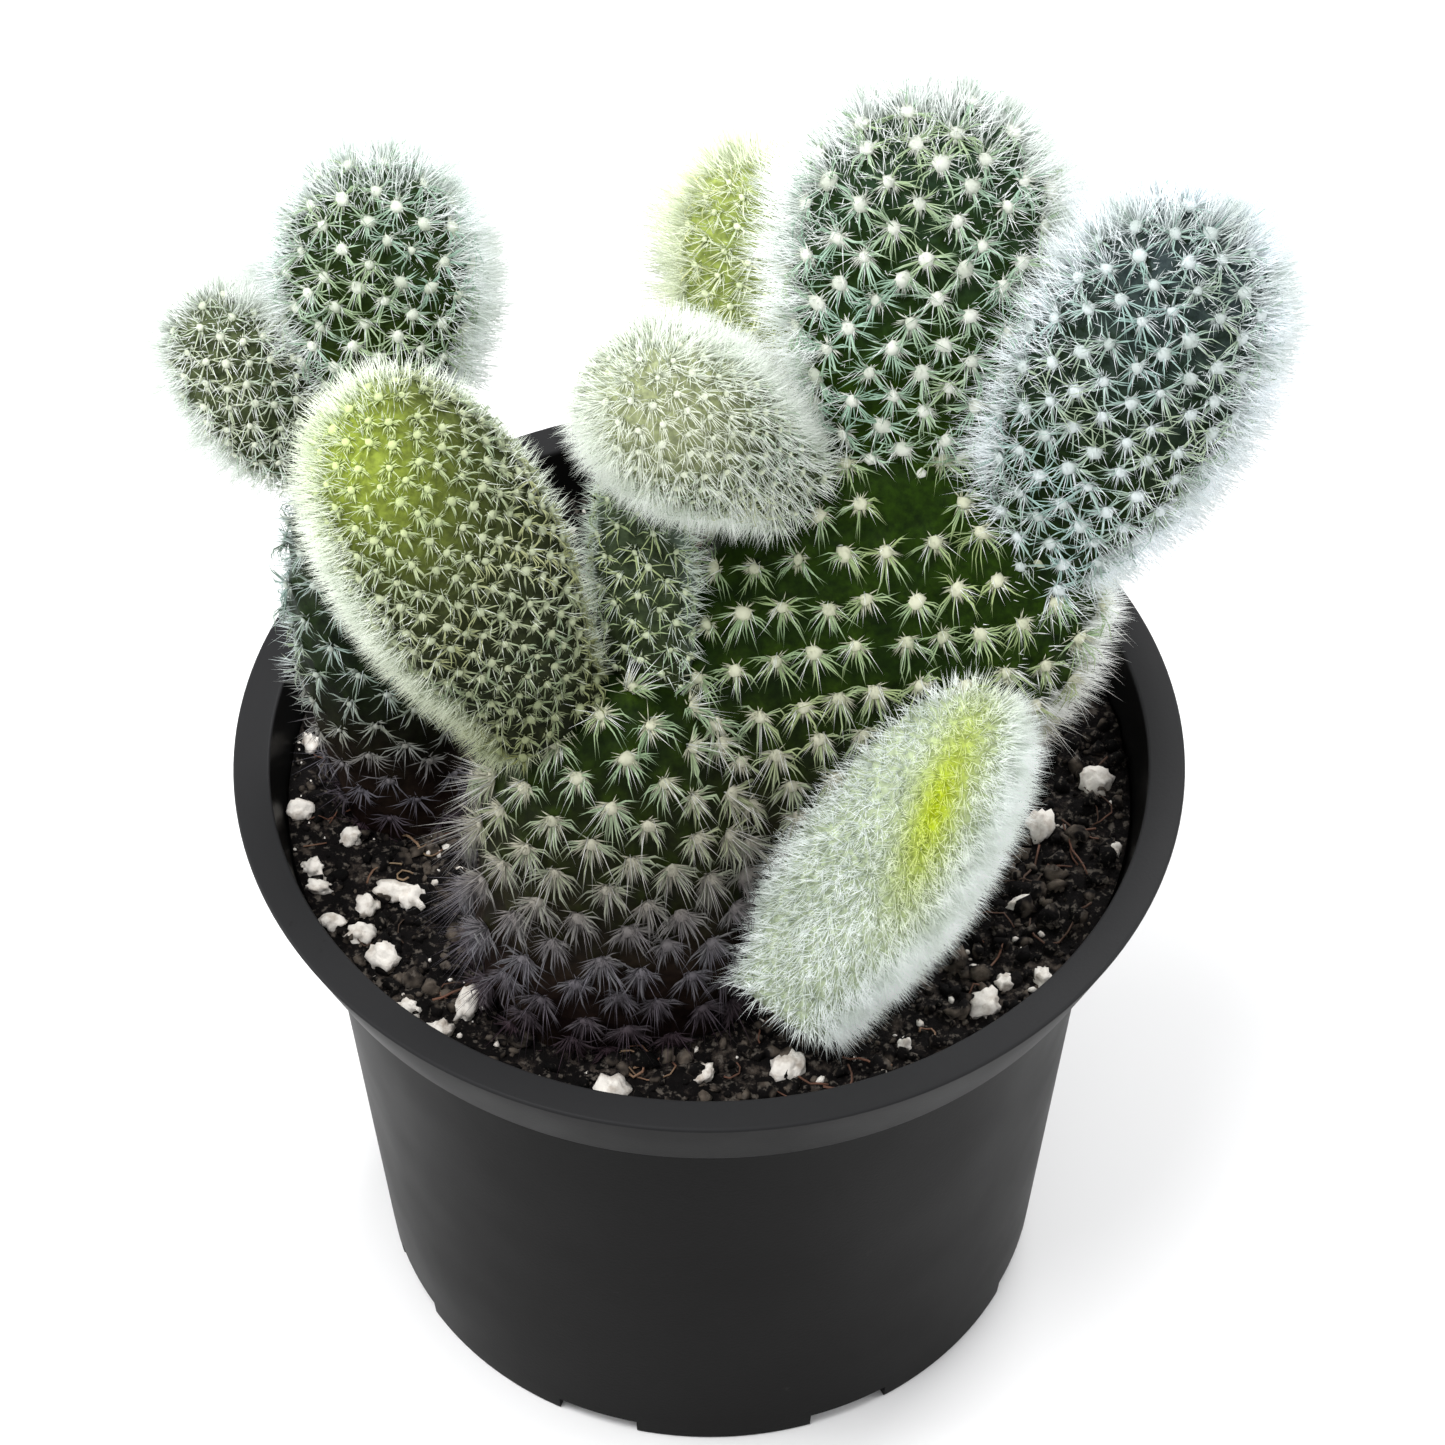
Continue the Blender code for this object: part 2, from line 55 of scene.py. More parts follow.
MM = 0.001
GOLDEN_ANGLE = math.pi * (3.0 - math.sqrt(5.0))
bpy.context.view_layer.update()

# Sizes shared with the solids
SECTION_SQUARENESS = 0.85
FAR_OUTSIDE = 9.0
FOOT_BLEND = 6
POT_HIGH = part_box("pot")[1]
RIM_RADIUS = POT_HIGH[0]
POT_HEIGHT = POT_HIGH[2]
RIM_WIDTH = 4.0 * MM
COLLAR_RADIUS = 47.9 * MM
WALL_TOP = 66.4 * MM
WALL_TOP_RADIUS = 43.7 * MM
FOOT_RADIUS = 37.5 * MM
WALL = 1.3 * MM
SHELF_LOW = 67.2 * MM
SHELF_HIGH = 69.2 * MM
SHELF_RADIUS = 46.2 * MM
FLOOR = 3.4 * MM
NOTCH_COUNT = 8
NOTCH_FIRST_ANGLE = math.radians(25.0)
NOTCH_WIDTH = 9.4 * MM
NOTCH_HEIGHT = 2.1 * MM
NOTCH_DEPTH = 4.0 * MM
SOIL_LEVEL = 70.3 * MM
SOIL_GAP = 0.3 * MM

# White grains on the soil: x, y and radius in mm
PERLITE = (
    (-44.0, 6.5, 1.3), (-44.5, -3.1, 1.2), (-39.1, -6.8, 1.1), (-43.0, -11.4, 1.3),
    (-42.3, -14.0, 1.2), (-37.1, -16.5, 1.2), (-33.8, -14.7, 1.9), (-32.1, -15.8, 1.7),
    (-40.6, -18.8, 1.1), (-37.5, -20.0, 1.3), (-34.9, -23.3, 1.5), (-32.2, -30.9, 1.2),
    (-28.8, -33.9, 1.2), (-25.7, -30.0, 1.8), (-10.3, -42.4, 1.7), (-0.5, -39.9, 1.0),
    (8.4, -38.3, 1.7), (42.4, 1.0, 1.8), (36.1, -5.6, 1.7), (43.8, -9.0, 1.1),
    (29.5, -30.0, 1.8), (35.7, -26.4, 1.4), (31.6, -26.9, 1.0), (33.6, -16.1, 1.1),
    (20.8, -35.5, 1.0), (-17.8, -40.6, 1.0), (-20.5, 33.0, 1.5), (6.0, 41.0, 1.7),
    (27.5, 30.5, 1.3), (-38.0, 21.5, 1.4), (17.0, 22.0, 1.2), (38.5, 17.5, 1.6))

# The photograph's camera, read from the rim and foot outlines of the pot
VIEW_ELEVATION = math.radians(49.3)
VIEW_DISTANCE = 0.700
VIEW_AIM = Vector((1.45, 0.0, 81.66)) * MM
VIEW_FOCAL_PIXELS = 6461.0
PHOTO_PIXELS = 1445.0

# Finish of the pot
EDGE_ROUNDING = 0.35 * MM
COLLAR_ROUNDING = 0.9 * MM
POT_SIDES = 192
WALL_LEVELS = (0.05, 0.2, 0.4, 0.6, 0.8, 0.95)
SHARP_ANGLE = math.radians(40.0)
# The rim's flat top, painted lighter: partly dust, partly painted light from above
DUST_AND_LIGHT_LOW = POT_HEIGHT - 0.6 * MM
DUST_AND_LIGHT_HIGH = POT_HEIGHT - 0.1 * MM

# Finish of the soil: waves of its surface as scale, height in mm and shift,
# radii of loose grains in mm, and how far their sizes lean to the small end
SOIL_WAVES = ((60.0, 0.9, (0.0, 0.0, 0.0)), (260.0, 0.8, (3.0, 1.0, 0.0)),
              (900.0, 0.35, (9.0, 4.0, 0.0)))
SOIL_RINGS = 72
SOIL_SIDES = 180
SOIL_SEED = 5
CRUMB_COUNT = 3000
CRUMB_SIZES = (0.25, 1.3)
SPECK_COUNT = 330
SPECK_SIZES = (0.15, 0.6)
SIZE_SKEW = 2.2
PERLITE_SCALE = 1.03
GRAIN_STRETCH = (0.55, 1.35)
GRAIN_TURN = 6.28
GRAIN_LIFT = 0.2
FIBRE_COUNT = 170
FIBRE_STEPS = 7

# Finish of the pads: the mesh of a skin, its bumps and pores, and the heights
# and places where tufts are shaggy, missing, aged near the soil and darkened
# there as painted shade, or darkened at a pad's foot as painted shade
SKIN_STEP = 0.95 * MM
RING_CROWDING = 1.15
TUFT_CROWDING = 1.12
TUFT_JITTER = 0.07
BUMP_REACH = 0.36
BUMP_SINK = 0.3
PORE_SCALE = 900.0
PORE_HEIGHT = 0.06 * MM
WAVE_SCALE = 120.0
WAVE_HEIGHT = 0.35 * MM
SHAGGY_LOW = 96.0 * MM
SHAGGY_HIGH = 118.0 * MM
BARE_SPOT = Vector((19.8, -10.0, 131.2)) * MM
BARE_REACH = 2.7 * MM
# Partly real cork and ageing, partly painted shade: how high above the soil pads darken
AGED_AND_SHADED_REACH = {"main_pad": 46.0 * MM, "old_pad_left": 26.0 * MM}
# Painted shade: the heights over which the left young pad darkens towards its foot
SHADED_FOOT = {"young_pad_left": (112.0 * MM, 131.0 * MM)}
FIRST_SEED = 11

# Kinds of hair. Radius and spread are in mm, tilt in degrees from the skin's
# normal and reach in hair lengths. Shares say where each kind takes its
# colour: cores to 0.2, bristles to 0.36, edge hairs to 0.5 and arms from 0.7.
CORE = dict(tilt=84.0, reach=(0.22, 0.44), radius=0.110, spread=0.55, shares=(0.0, 0.2))
BRISTLES = dict(tilt=42.0, reach=(0.60, 1.10), radius=0.058, spread=0.9, shares=(0.30, 0.36))
EDGE = dict(reach=(0.45, 1.10), radius=0.068, shares=(0.42, 0.5))
ARM = dict(tilt=(50.0, 84.0), reach=(0.60, 1.15), radius=0.098, shares=(0.7, 1.0))
ARM_FAN = 0.36
ARM_STRAY = 0.26
STRAND_STRAY = 0.10
ARM_WAVE = 0.22
ARM_CURL = 0.24
ARM_START = 0.30 * MM
ARMS_GROWN = 0.85
BEND_WIDTH = 0.75
VIGOUR = (0.82, 1.15)
HAIR_ROOT = 0.15 * MM
HAIR_SINK = 0.5 * MM
HEADING_STRAY = 0.24

# The forms of the pads: base and tip of the axis, the way the broad side
# faces, width and thickness, and as shares the widest place along the axis,
# the least width at the foot and the power that rounds the tip
STEM = dict(
    base=(-9.0, -27.5, 57.0), tip=(-10.5, -23.0, 114.0), face=(0.1, -1.0, 0.2),
    width=29.0, thickness=20.0, widest=0.50, foot=0.82, blunt=0.42)
MAIN = dict(
    base=(-2.0, -25.5, 91.0), tip=(32.5, -4.0, 128.5), face=(0.1, -1.0, 0.45),
    width=40.0, thickness=15.0, widest=0.62, foot=0.45, blunt=0.45)
PADS = {
    "main_pad": [STEM, MAIN],
    "young_pad_left": [dict(
        base=(-16.6, -24.2, 111.0), tip=(-35.0, -14.0, 147.8), face=(0.5, -1.0, 0.6),
        width=21.6, thickness=18.4, widest=0.56, foot=0.62, blunt=0.45)],
    "young_pad_front": [dict(
        base=(8.2, -32.8, 76.0), tip=(29.0, -20.5, 110.6), face=(-0.5, -1.0, 0.6),
        width=18.2, thickness=15.2, widest=0.52, foot=0.74, blunt=0.42)],
    "old_pad_left": [dict(
        base=(-33.0, -2.8, 62.0), tip=(-36.6, 4.0, 123.3), face=(-0.2, -1.0, 0.4),
        width=18.4, thickness=13.0, widest=0.60, foot=0.64, blunt=0.48)],
    "ear_left_upper": [dict(
        base=(-34.0, 3.8, 119.5), tip=(-34.0, 14.0, 153.2), face=(0.0, -1.0, 0.3),
        width=19.5, thickness=12.0, widest=0.62, foot=0.40, blunt=0.47)],
    "ear_left_lower": [dict(
        base=(-40.0, 3.2, 116.5), tip=(-53.2, 7.0, 139.6), face=(0.2, -1.0, 0.4),
        width=13.0, thickness=9.0, widest=0.57, foot=0.45, blunt=0.48)],
    "bud_pad_middle": [dict(
        base=(-5.0, -21.0, 100.0), tip=(-7.6, -8.0, 132.5), face=(-0.2, -1.0, 0.2),
        width=10.5, thickness=9.0, widest=0.50, foot=0.65, blunt=0.46)],
    "ear_top": [dict(
        base=(19.6, -8.0, 124.5), tip=(22.9, 10.0, 166.0), face=(0.0, -1.0, 0.3),
        width=26.5, thickness=13.0, widest=0.62, foot=0.42, blunt=0.46)],
    "ear_right": [dict(
        base=(32.6, -11.5, 118.5), tip=(50.3, 2.0, 158.0), face=(0.0, -1.0, 0.4),
        width=23.8, thickness=14.0, widest=0.58, foot=0.45, blunt=0.46)],
    "ear_back": [dict(
        base=(12.0, -3.5, 124.0), tip=(3.2, 12.0, 155.0), face=(-0.3, -1.0, 0.3),
        width=18.4, thickness=11.0, widest=0.58, foot=0.45, blunt=0.47)],
    "ear_near": [dict(
        base=(7.8, -9.8, 130.6), tip=(-9.0, -19.5, 156.3), face=(0.0, -1.0, 0.8),
        width=16.2, thickness=14.5, widest=0.62, foot=0.58, blunt=0.45)],
}

# How each pad looks. In mm: spacing between tufts, rise of the bumps, length
# of the hairs, felt (radius of a tuft's cushion) and fringe_length. In numbers:
# arms of a tuft, strands of an arm, core hairs, bristles and fringe, the hairs
# tried along the edges. As shares: droop (how far hairs hang), shag (how much
# shaggier tufts are low down), fringe_from (where along the pad the fringe
# starts), fringe_sides (where across, in half widths), hug (how closely it
# keeps to the edges) and haze (how much of it stands near the tip on the broad
# side). Colours: valley and crest of the bumps, tip, felted (skin under thick
# hairs), hair, arm and core_hair. A glow is a painted highlight, a
# brighter patch where light falls: its place along and across the pad, its
# reach both ways and how it leans across the pad.

def pad_style(**values):
    """A pad's look, with what most pads share."""
    shared = dict(
        shag=0.0, hug=1.4, haze=0.0, fringe_from=-0.3, fringe_sides=(-9.0, 9.0), glow=None)
    return SimpleNamespace(**{**shared, **values})


STYLES = {
    "main_pad": pad_style(
        spacing=5.0, rise=0.80, arms=8, strands=3, droop=1.0, core=46, bristles=10,
        length=4.3, felt=0.80, fringe=150000, fringe_length=4.4, fringe_from=0.38,
        shag=1.0, hug=1.2, fringe_sides=(0.1, 9.0),
        valley=(0.004, 0.012, 0.001), crest=(0.032, 0.064, 0.003), tip=(0.02, 0.048, 0.002),
        felted=(0.52, 0.57, 0.50),
        hair=(0.92, 0.95, 0.93), arm=(0.36, 0.48, 0.27), core_hair=(0.65, 0.66, 0.50)),
    "young_pad_left": pad_style(
        spacing=2.5, rise=0.36, arms=5, strands=2, droop=1.0, core=24, bristles=4,
        length=2.6, felt=0.50, fringe=40000, fringe_length=3.3,
        hug=2.6, fringe_sides=(-9.0, 0.6),
        valley=(0.012, 0.016, 0.006), crest=(0.062, 0.074, 0.032), tip=(0.084, 0.104, 0.036),
        felted=(0.50, 0.56, 0.34),
        hair=(0.84, 0.89, 0.80), arm=(0.38, 0.43, 0.28), core_hair=(0.44, 0.48, 0.33),
        glow=(0.94, -0.36, 0.24, 0.70, 0.0), glow_skin=(0.27, 0.34, 0.05),
        glow_hair=(0.62, 0.72, 0.32)),
    "young_pad_front": pad_style(
        spacing=1.9, rise=0.12, arms=0, strands=0, droop=0.0, core=4, bristles=44,
        length=3.2, felt=0.0, fringe=17000, fringe_length=3.0,
        valley=(0.44, 0.51, 0.36), crest=(0.52, 0.59, 0.44), tip=(0.54, 0.62, 0.40),
        felted=(0.62, 0.70, 0.60),
        hair=(0.90, 0.95, 0.93), arm=(0.90, 0.95, 0.93), core_hair=(0.80, 0.88, 0.78),
        glow=(0.74, 0.34, 0.24, 0.27, 1.1), glow_skin=(0.46, 0.56, 0.006),
        glow_hair=(0.72, 0.82, 0.14)),
    # Its colours are painted dark: painted shade, as it stands in shadow behind the front pads
    "old_pad_left": pad_style(
        spacing=4.6, rise=0.60, arms=7, strands=2, droop=0.9, core=16, bristles=6,
        length=3.8, felt=0.45, fringe=5200, fringe_length=3.2, fringe_from=0.35,
        valley=(0.002, 0.005, 0.002), crest=(0.01, 0.022, 0.005), tip=(0.026, 0.044, 0.014),
        felted=(0.10, 0.13, 0.12),
        hair=(0.66, 0.74, 0.74), arm=(0.26, 0.34, 0.30), core_hair=(0.40, 0.45, 0.40)),
    "ear_left_upper": pad_style(
        spacing=3.35, rise=0.62, arms=8, strands=2, droop=0.45, core=22, bristles=10,
        length=3.8, felt=0.70, fringe=35000, fringe_length=5.8, fringe_from=0.05, haze=0.12,
        valley=(0.017, 0.032, 0.002), crest=(0.046, 0.076, 0.006), tip=(0.03, 0.058, 0.028),
        felted=(0.25, 0.32, 0.28),
        hair=(0.88, 0.93, 0.92), arm=(0.42, 0.57, 0.44), core_hair=(0.76, 0.80, 0.70)),
    "ear_left_lower": pad_style(
        spacing=2.55, rise=0.42, arms=6, strands=1, droop=0.5, core=16, bristles=12,
        length=3.2, felt=0.45, fringe=18000, fringe_length=5.0, fringe_from=0.05, haze=0.16,
        valley=(0.022, 0.032, 0.012), crest=(0.11, 0.14, 0.056), tip=(0.14, 0.17, 0.085),
        felted=(0.32, 0.37, 0.30),
        hair=(0.92, 0.96, 0.93), arm=(0.62, 0.70, 0.55), core_hair=(0.74, 0.78, 0.64)),
    "bud_pad_middle": pad_style(
        spacing=2.8, rise=0.35, arms=6, strands=1, droop=0.8, core=12, bristles=12,
        length=3.0, felt=0.42, fringe=3000, fringe_length=2.8, haze=0.10,
        valley=(0.014, 0.022, 0.008), crest=(0.06, 0.08, 0.026), tip=(0.11, 0.15, 0.09),
        felted=(0.30, 0.38, 0.34),
        hair=(0.78, 0.86, 0.78), arm=(0.46, 0.58, 0.36), core_hair=(0.60, 0.66, 0.46)),
    "ear_top": pad_style(
        spacing=4.1, rise=0.75, arms=8, strands=3, droop=0.5, core=42, bristles=10,
        length=4.4, felt=0.88, fringe=60000, fringe_length=6.6, fringe_from=0.0, haze=0.12,
        valley=(0.01, 0.026, 0.001), crest=(0.034, 0.074, 0.004), tip=(0.03, 0.058, 0.038),
        felted=(0.28, 0.34, 0.30),
        hair=(0.90, 0.94, 0.93), arm=(0.42, 0.57, 0.43), core_hair=(0.76, 0.78, 0.71)),
    "ear_right": pad_style(
        spacing=3.6, rise=0.66, arms=8, strands=2, droop=0.45, core=34, bristles=12,
        length=4.1, felt=0.76, fringe=52000, fringe_length=6.2, fringe_from=-0.2, haze=0.14,
        valley=(0.006, 0.016, 0.003), crest=(0.032, 0.062, 0.012), tip=(0.066, 0.09, 0.104),
        felted=(0.27, 0.33, 0.34),
        hair=(0.86, 0.91, 0.94), arm=(0.44, 0.57, 0.51), core_hair=(0.64, 0.70, 0.70)),
    "ear_back": pad_style(
        spacing=2.9, rise=0.30, arms=4, strands=1, droop=0.3, core=8, bristles=30,
        length=3.4, felt=0.40, fringe=22000, fringe_length=6.8, haze=0.12,
        valley=(0.17, 0.22, 0.05), crest=(0.33, 0.41, 0.09), tip=(0.42, 0.50, 0.14),
        felted=(0.62, 0.70, 0.40),
        hair=(0.90, 0.95, 0.76), arm=(0.80, 0.86, 0.58), core_hair=(0.80, 0.86, 0.58)),
    "ear_near": pad_style(
        spacing=2.5, rise=0.30, arms=5, strands=1, droop=0.9, core=10, bristles=26,
        length=3.2, felt=0.42, fringe=12000, fringe_length=3.6,
        valley=(0.036, 0.048, 0.022), crest=(0.12, 0.15, 0.07), tip=(0.26, 0.30, 0.15),
        felted=(0.52, 0.57, 0.44),
        hair=(0.86, 0.91, 0.85), arm=(0.56, 0.63, 0.48), core_hair=(0.62, 0.67, 0.50),
        glow=(0.90, 0.0, 0.24, 0.9, 0.0), glow_skin=(0.40, 0.44, 0.25),
        glow_hair=(0.76, 0.80, 0.66)),
}


def link(name, mesh):
    """An object in the scene that holds a mesh."""
    made = bpy.data.objects.new(name, mesh)
    bpy.context.scene.collection.objects.link(made)
    return made


def mesh_from_arrays(name, vertices, faces):
    """A mesh from arrays of corners and of equal faces."""
    mesh = bpy.data.meshes.new(name)
    count, sides = faces.shape
    mesh.vertices.add(len(vertices))
    mesh.vertices.foreach_set("co", np.asarray(vertices, dtype=np.float32).ravel())
    mesh.loops.add(count * sides)
    mesh.loops.foreach_set("vertex_index", faces.astype(np.int32).ravel())
    mesh.polygons.add(count)
    mesh.polygons.foreach_set("loop_start", np.arange(0, count * sides, sides, dtype=np.int32))
    mesh.update(calc_edges=True)
    mesh.validate()
    return mesh


def set_attribute(mesh, name, values):
    """Store one number for each corner of a mesh."""
    layer = mesh.attributes.new(name, "FLOAT", "POINT")
    layer.data.foreach_set("value", np.asarray(values, dtype=np.float32))


def shade_smooth(mesh):
    """Shade all faces of a mesh smooth."""
    mesh.polygons.foreach_set("use_smooth", [True] * len(mesh.polygons))


def dress(piece, material, node, replaces=True):
    """Give a piece its material and its body, and hide the solid that it replaces."""
    piece.data.materials.append(material)
    if replaces:
        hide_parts(node)
    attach(piece, "root")


def unit_rows(rows):
    """Rows of an array at length 1."""
    return rows / np.linalg.norm(rows, axis=1)[:, None]


def ring_faces(rings, sides):
    """Triangles of a closed body: a first point, rings of points and a last point."""
    last = 1 + rings * sides
    side = np.arange(sides)
    after = (side + 1) % sides
    faces = [np.stack([np.zeros_like(side), 1 + after, 1 + side], axis=1)]
    for ring in range(rings - 1):
        low = 1 + ring * sides
        high = low + sides
        faces.append(np.stack([low + side, low + after, high + after], axis=1))
        faces.append(np.stack([low + side, high + after, high + side], axis=1))
    top = last - sides
    faces.append(np.stack([np.full_like(side, last), top + side, top + after], axis=1))
    return np.vstack(faces)


def circle_points(radius, height, angles):
    """Points on a level circle round Z."""
    heights = np.full(len(angles), height)
    return np.stack([radius * np.cos(angles), radius * np.sin(angles), heights], axis=1)


def unit_ball(divisions):
    """Corners and triangles of a ball of radius 1."""
    shape = bmesh.new()
    bmesh.ops.create_icosphere(shape, subdivisions=divisions, radius=1.0)
    corners = np.array([vertex.co[:] for vertex in shape.verts])
    triangles = np.array([[vertex.index for vertex in face.verts] for face in shape.faces])
    shape.free()
    return corners, triangles


def triangle_ring(side, other):
    """Directions to the three corners of a thin three-sided rod."""
    angles = [2.0 * math.pi * turn / 3.0 for turn in range(3)]
    return [math.cos(angle) * side + math.sin(angle) * other for angle in angles]


def joined_bodies(name, bodies):
    """One object of many bodies, each given as corners and triangles."""
    starts = np.cumsum([0] + [len(corners) for corners, _ in bodies])
    faces = [triangles + start for (_, triangles), start in zip(bodies, starts)]
    corners = np.vstack([corners for corners, _ in bodies])
    return link(name, mesh_from_arrays(name, corners, np.vstack(faces)))


# Shape of the pads

def profile_share(along, form):
    """Half width at a share of the length, as a share of the greatest."""
    power = math.log(0.5) / math.log(form["widest"])
    place = np.clip(along, 0.0, 1.0) ** power
    share = (4.0 * place * (1.0 - place)) ** form["blunt"]
    rounded = (share ** FOOT_BLEND + form["foot"] ** FOOT_BLEND) ** (1.0 / FOOT_BLEND)
    return np.where(along < form["widest"], rounded, share)


def pad_axes(form):
    """Unit directions along a pad, across it and out of its broad side."""
    along = np.array(form["tip"]) - np.array(form["base"])
    along = along / np.linalg.norm(along)
    outward = np.array(form["face"]) - np.dot(form["face"], along) * along
    outward = outward / np.linalg.norm(outward)
    return along, np.cross(along, outward), outward


def pad_length(form):
    """Length of a pad's axis, in metres."""
    return np.linalg.norm(np.array(form["tip"]) - np.array(form["base"])) * MM


def pad_point(form, along, angle):
    """Points on a pad's skin, in metres."""
    base = np.array(form["base"])
    length = np.array(form["tip"]) - base
    _, across, outward = pad_axes(form)
    share = profile_share(along, form)[..., None]
    turn_x = np.sign(np.cos(angle)) * np.abs(np.cos(angle)) ** SECTION_SQUARENESS
    turn_y = np.sign(np.sin(angle)) * np.abs(np.sin(angle)) ** SECTION_SQUARENESS
    middle = base + length * along[..., None]
    wide = 0.5 * form["width"] * turn_x[..., None] * across
    deep = 0.5 * form["thickness"] * turn_y[..., None] * outward
    return (middle + share * (wide + deep)) * MM


def pad_places(form, points):
    """Where points lie: along a pad as a share, across it and out of it in half widths."""
    direction, across, outward = pad_axes(form)
    offset = points - np.array(form["base"]) * MM
    sideways = offset @ across / (0.5 * form["width"] * MM)
    deep = offset @ outward / (0.5 * form["thickness"] * MM)
    return offset @ direction / pad_length(form), sideways, deep


def pad_depth(form, points):
    """How far inside a pad points are: over 1 outside, under 1 inside."""
    along, sideways, deep = pad_places(form, points)
    share = np.maximum(profile_share(along, form), 1e-3)
    power = 2.0 / SECTION_SQUARENESS
    reach = (np.abs(sideways) / share) ** power + (np.abs(deep) / share) ** power
    return np.where((along > 0.0) & (along < 1.0), reach ** (1.0 / power), FAR_OUTSIDE)


def pad_painted_light(name, points):
    """How strongly points lie in a pad's painted highlight, a brighter patch that fades towards the
    pad's back, from 0 to 1.
    """
    place_along, place_across, reach_along, reach_across, lean = STYLES[name].glow
    along, sideways, deep = pad_places(PADS[name][-1], points)
    middle = place_across + lean * (place_along - along)
    distance = ((along - place_along) / reach_along) ** 2
    distance += ((sideways - middle) / reach_across) ** 2
    return np.exp(-distance) * np.clip(0.8 + deep, 0.0, 1.0)


def plain_skin(name, form):
    """A pad's closed skin, before its bumps."""
    girth = math.pi * (form["width"] + form["thickness"]) * 0.5 * MM
    around = int(girth / SKIN_STEP)
    rings = int(RING_CROWDING * pad_length(form) / SKIN_STEP)
    steps = np.sin(0.5 * math.pi * np.arange(rings) / rings)
    angles = 2.0 * math.pi * np.arange(around) / around
    grid_along, grid_angle = np.meshgrid(steps, angles, indexing="ij")
    points = pad_point(form, grid_along.ravel(), grid_angle.ravel())
    base = np.array(form["base"]) * MM
    tip = np.array(form["tip"]) * MM
    faces = ring_faces(rings, around)[:, [0, 2, 1]]
    return mesh_from_arrays(name, np.vstack([base, points, tip]), faces)


def mesh_arrays(mesh):
    """Corners and corner normals of a mesh."""
    corners = np.empty(len(mesh.vertices) * 3, dtype=np.float32)
    mesh.vertices.foreach_get("co", corners)
    normals = np.empty(len(mesh.vertices) * 3, dtype=np.float32)
    mesh.vertices.foreach_get("normal", normals)
    return corners.reshape(-1, 3).astype(float), normals.reshape(-1, 3).astype(float)


def applied(piece):
    """The mesh of a piece with its modifiers in it."""
    bpy.context.view_layer.update()
    graph = bpy.context.evaluated_depsgraph_get()
    mesh = bpy.data.meshes.new_from_object(piece.evaluated_get(graph))
    piece.modifiers.clear()
    piece.data = mesh
    return mesh


def blended_skin(name, forms):
    """The skins of several pads that grew into each other."""
    piece = link(name, plain_skin(name, forms[0]))
    if len(forms) == 1:
        return piece
    joined = bmesh.new()
    for form in forms:
        joined.from_mesh(plain_skin("part", form))
    joined.to_mesh(piece.data)
    joined.free()
    remesh = piece.modifiers.new("remesh", "REMESH")
    remesh.mode = "VOXEL"
    remesh.voxel_size = SKIN_STEP
    smooth = piece.modifiers.new("smooth", "SMOOTH")
    smooth.factor = 0.5
    smooth.iterations = 20
    applied(piece)
    return piece


def pad_rings(form, grid, angles):
    """Rings of points round a pad, and the lengths of their sides."""
    rings = [pad_point(form, np.full(angles.shape, along), angles) for along in grid]
    return rings, [np.linalg.norm(np.diff(ring, axis=0), axis=1) for ring in rings]


def spiral_places(form, count):
    """Even spiral places over a pad's skin."""
    grid = np.linspace(0.01, 0.998, 200)
    angles = np.linspace(0.0, 2.0 * math.pi, 145)
    _, sides = pad_rings(form, grid, angles)
    arcs = [np.concatenate([[0.0], np.cumsum(side)]) / side.sum() for side in sides]
    girths = np.array([side.sum() for side in sides])
    radii = profile_share(grid, form) * 0.25 * (form["width"] + form["thickness"]) * MM
    slopes = np.gradient(radii, grid) / pad_length(form)
    area = np.cumsum(girths * np.sqrt(1.0 + slopes ** 2))
    area = area / area[-1]
    along = np.interp((np.arange(count) + 0.5) / count, area, grid)
    turns = np.mod(np.arange(count) * GOLDEN_ANGLE / (2.0 * math.pi), 1.0)
    rows = np.searchsorted(grid, along).clip(0, len(grid) - 1)
    angle = np.array([np.interp(turn, arcs[row], angles) for turn, row in zip(turns, rows)])
    return pad_point(form, along, angle)


def pad_area(form):
    """Area of a pad's skin."""
    grid = np.linspace(0.0, 1.0, 60)
    rings, sides = pad_rings(form, grid, np.linspace(0.0, 2.0 * math.pi, 61))
    total = 0.0
    for index in range(1, len(rings)):
        step = np.linalg.norm(rings[index] - rings[index - 1], axis=1).mean()
        total += 0.5 * (sides[index].sum() + sides[index - 1].sum()) * step
    return total


def tuft_places(name, skin, draw):
    """Where the tufts of a pad sit on its skin: point, normal and edge share."""
    forms = PADS[name]
    style = STYLES[name]
    corners, _ = mesh_arrays(skin)
    tree = BVHTree.FromPolygons(
        [tuple(corner) for corner in corners],
        [tuple(polygon.vertices) for polygon in skin.polygons])
    places = []
    for index, form in enumerate(forms):
        count = int(pad_area(form) / (style.spacing * MM) ** 2 * TUFT_CROWDING)
        points = spiral_places(form, count)
        keep = np.ones(count, dtype=bool)
        for other in forms[:index] + forms[index + 1:]:
            keep &= pad_depth(other, points) > 1.02
        outward = Vector(pad_axes(form)[2])
        points = points + draw.normal(0.0, TUFT_JITTER * style.spacing * MM, points.shape)
        for point in points[keep]:
            near, normal, _, _ = tree.find_nearest(Vector(point))
            if name == "main_pad" and (near - BARE_SPOT).length < BARE_REACH:
                continue
            places.append((*near, *normal, 1.0 - abs(normal.dot(outward))))
    return np.array(places)


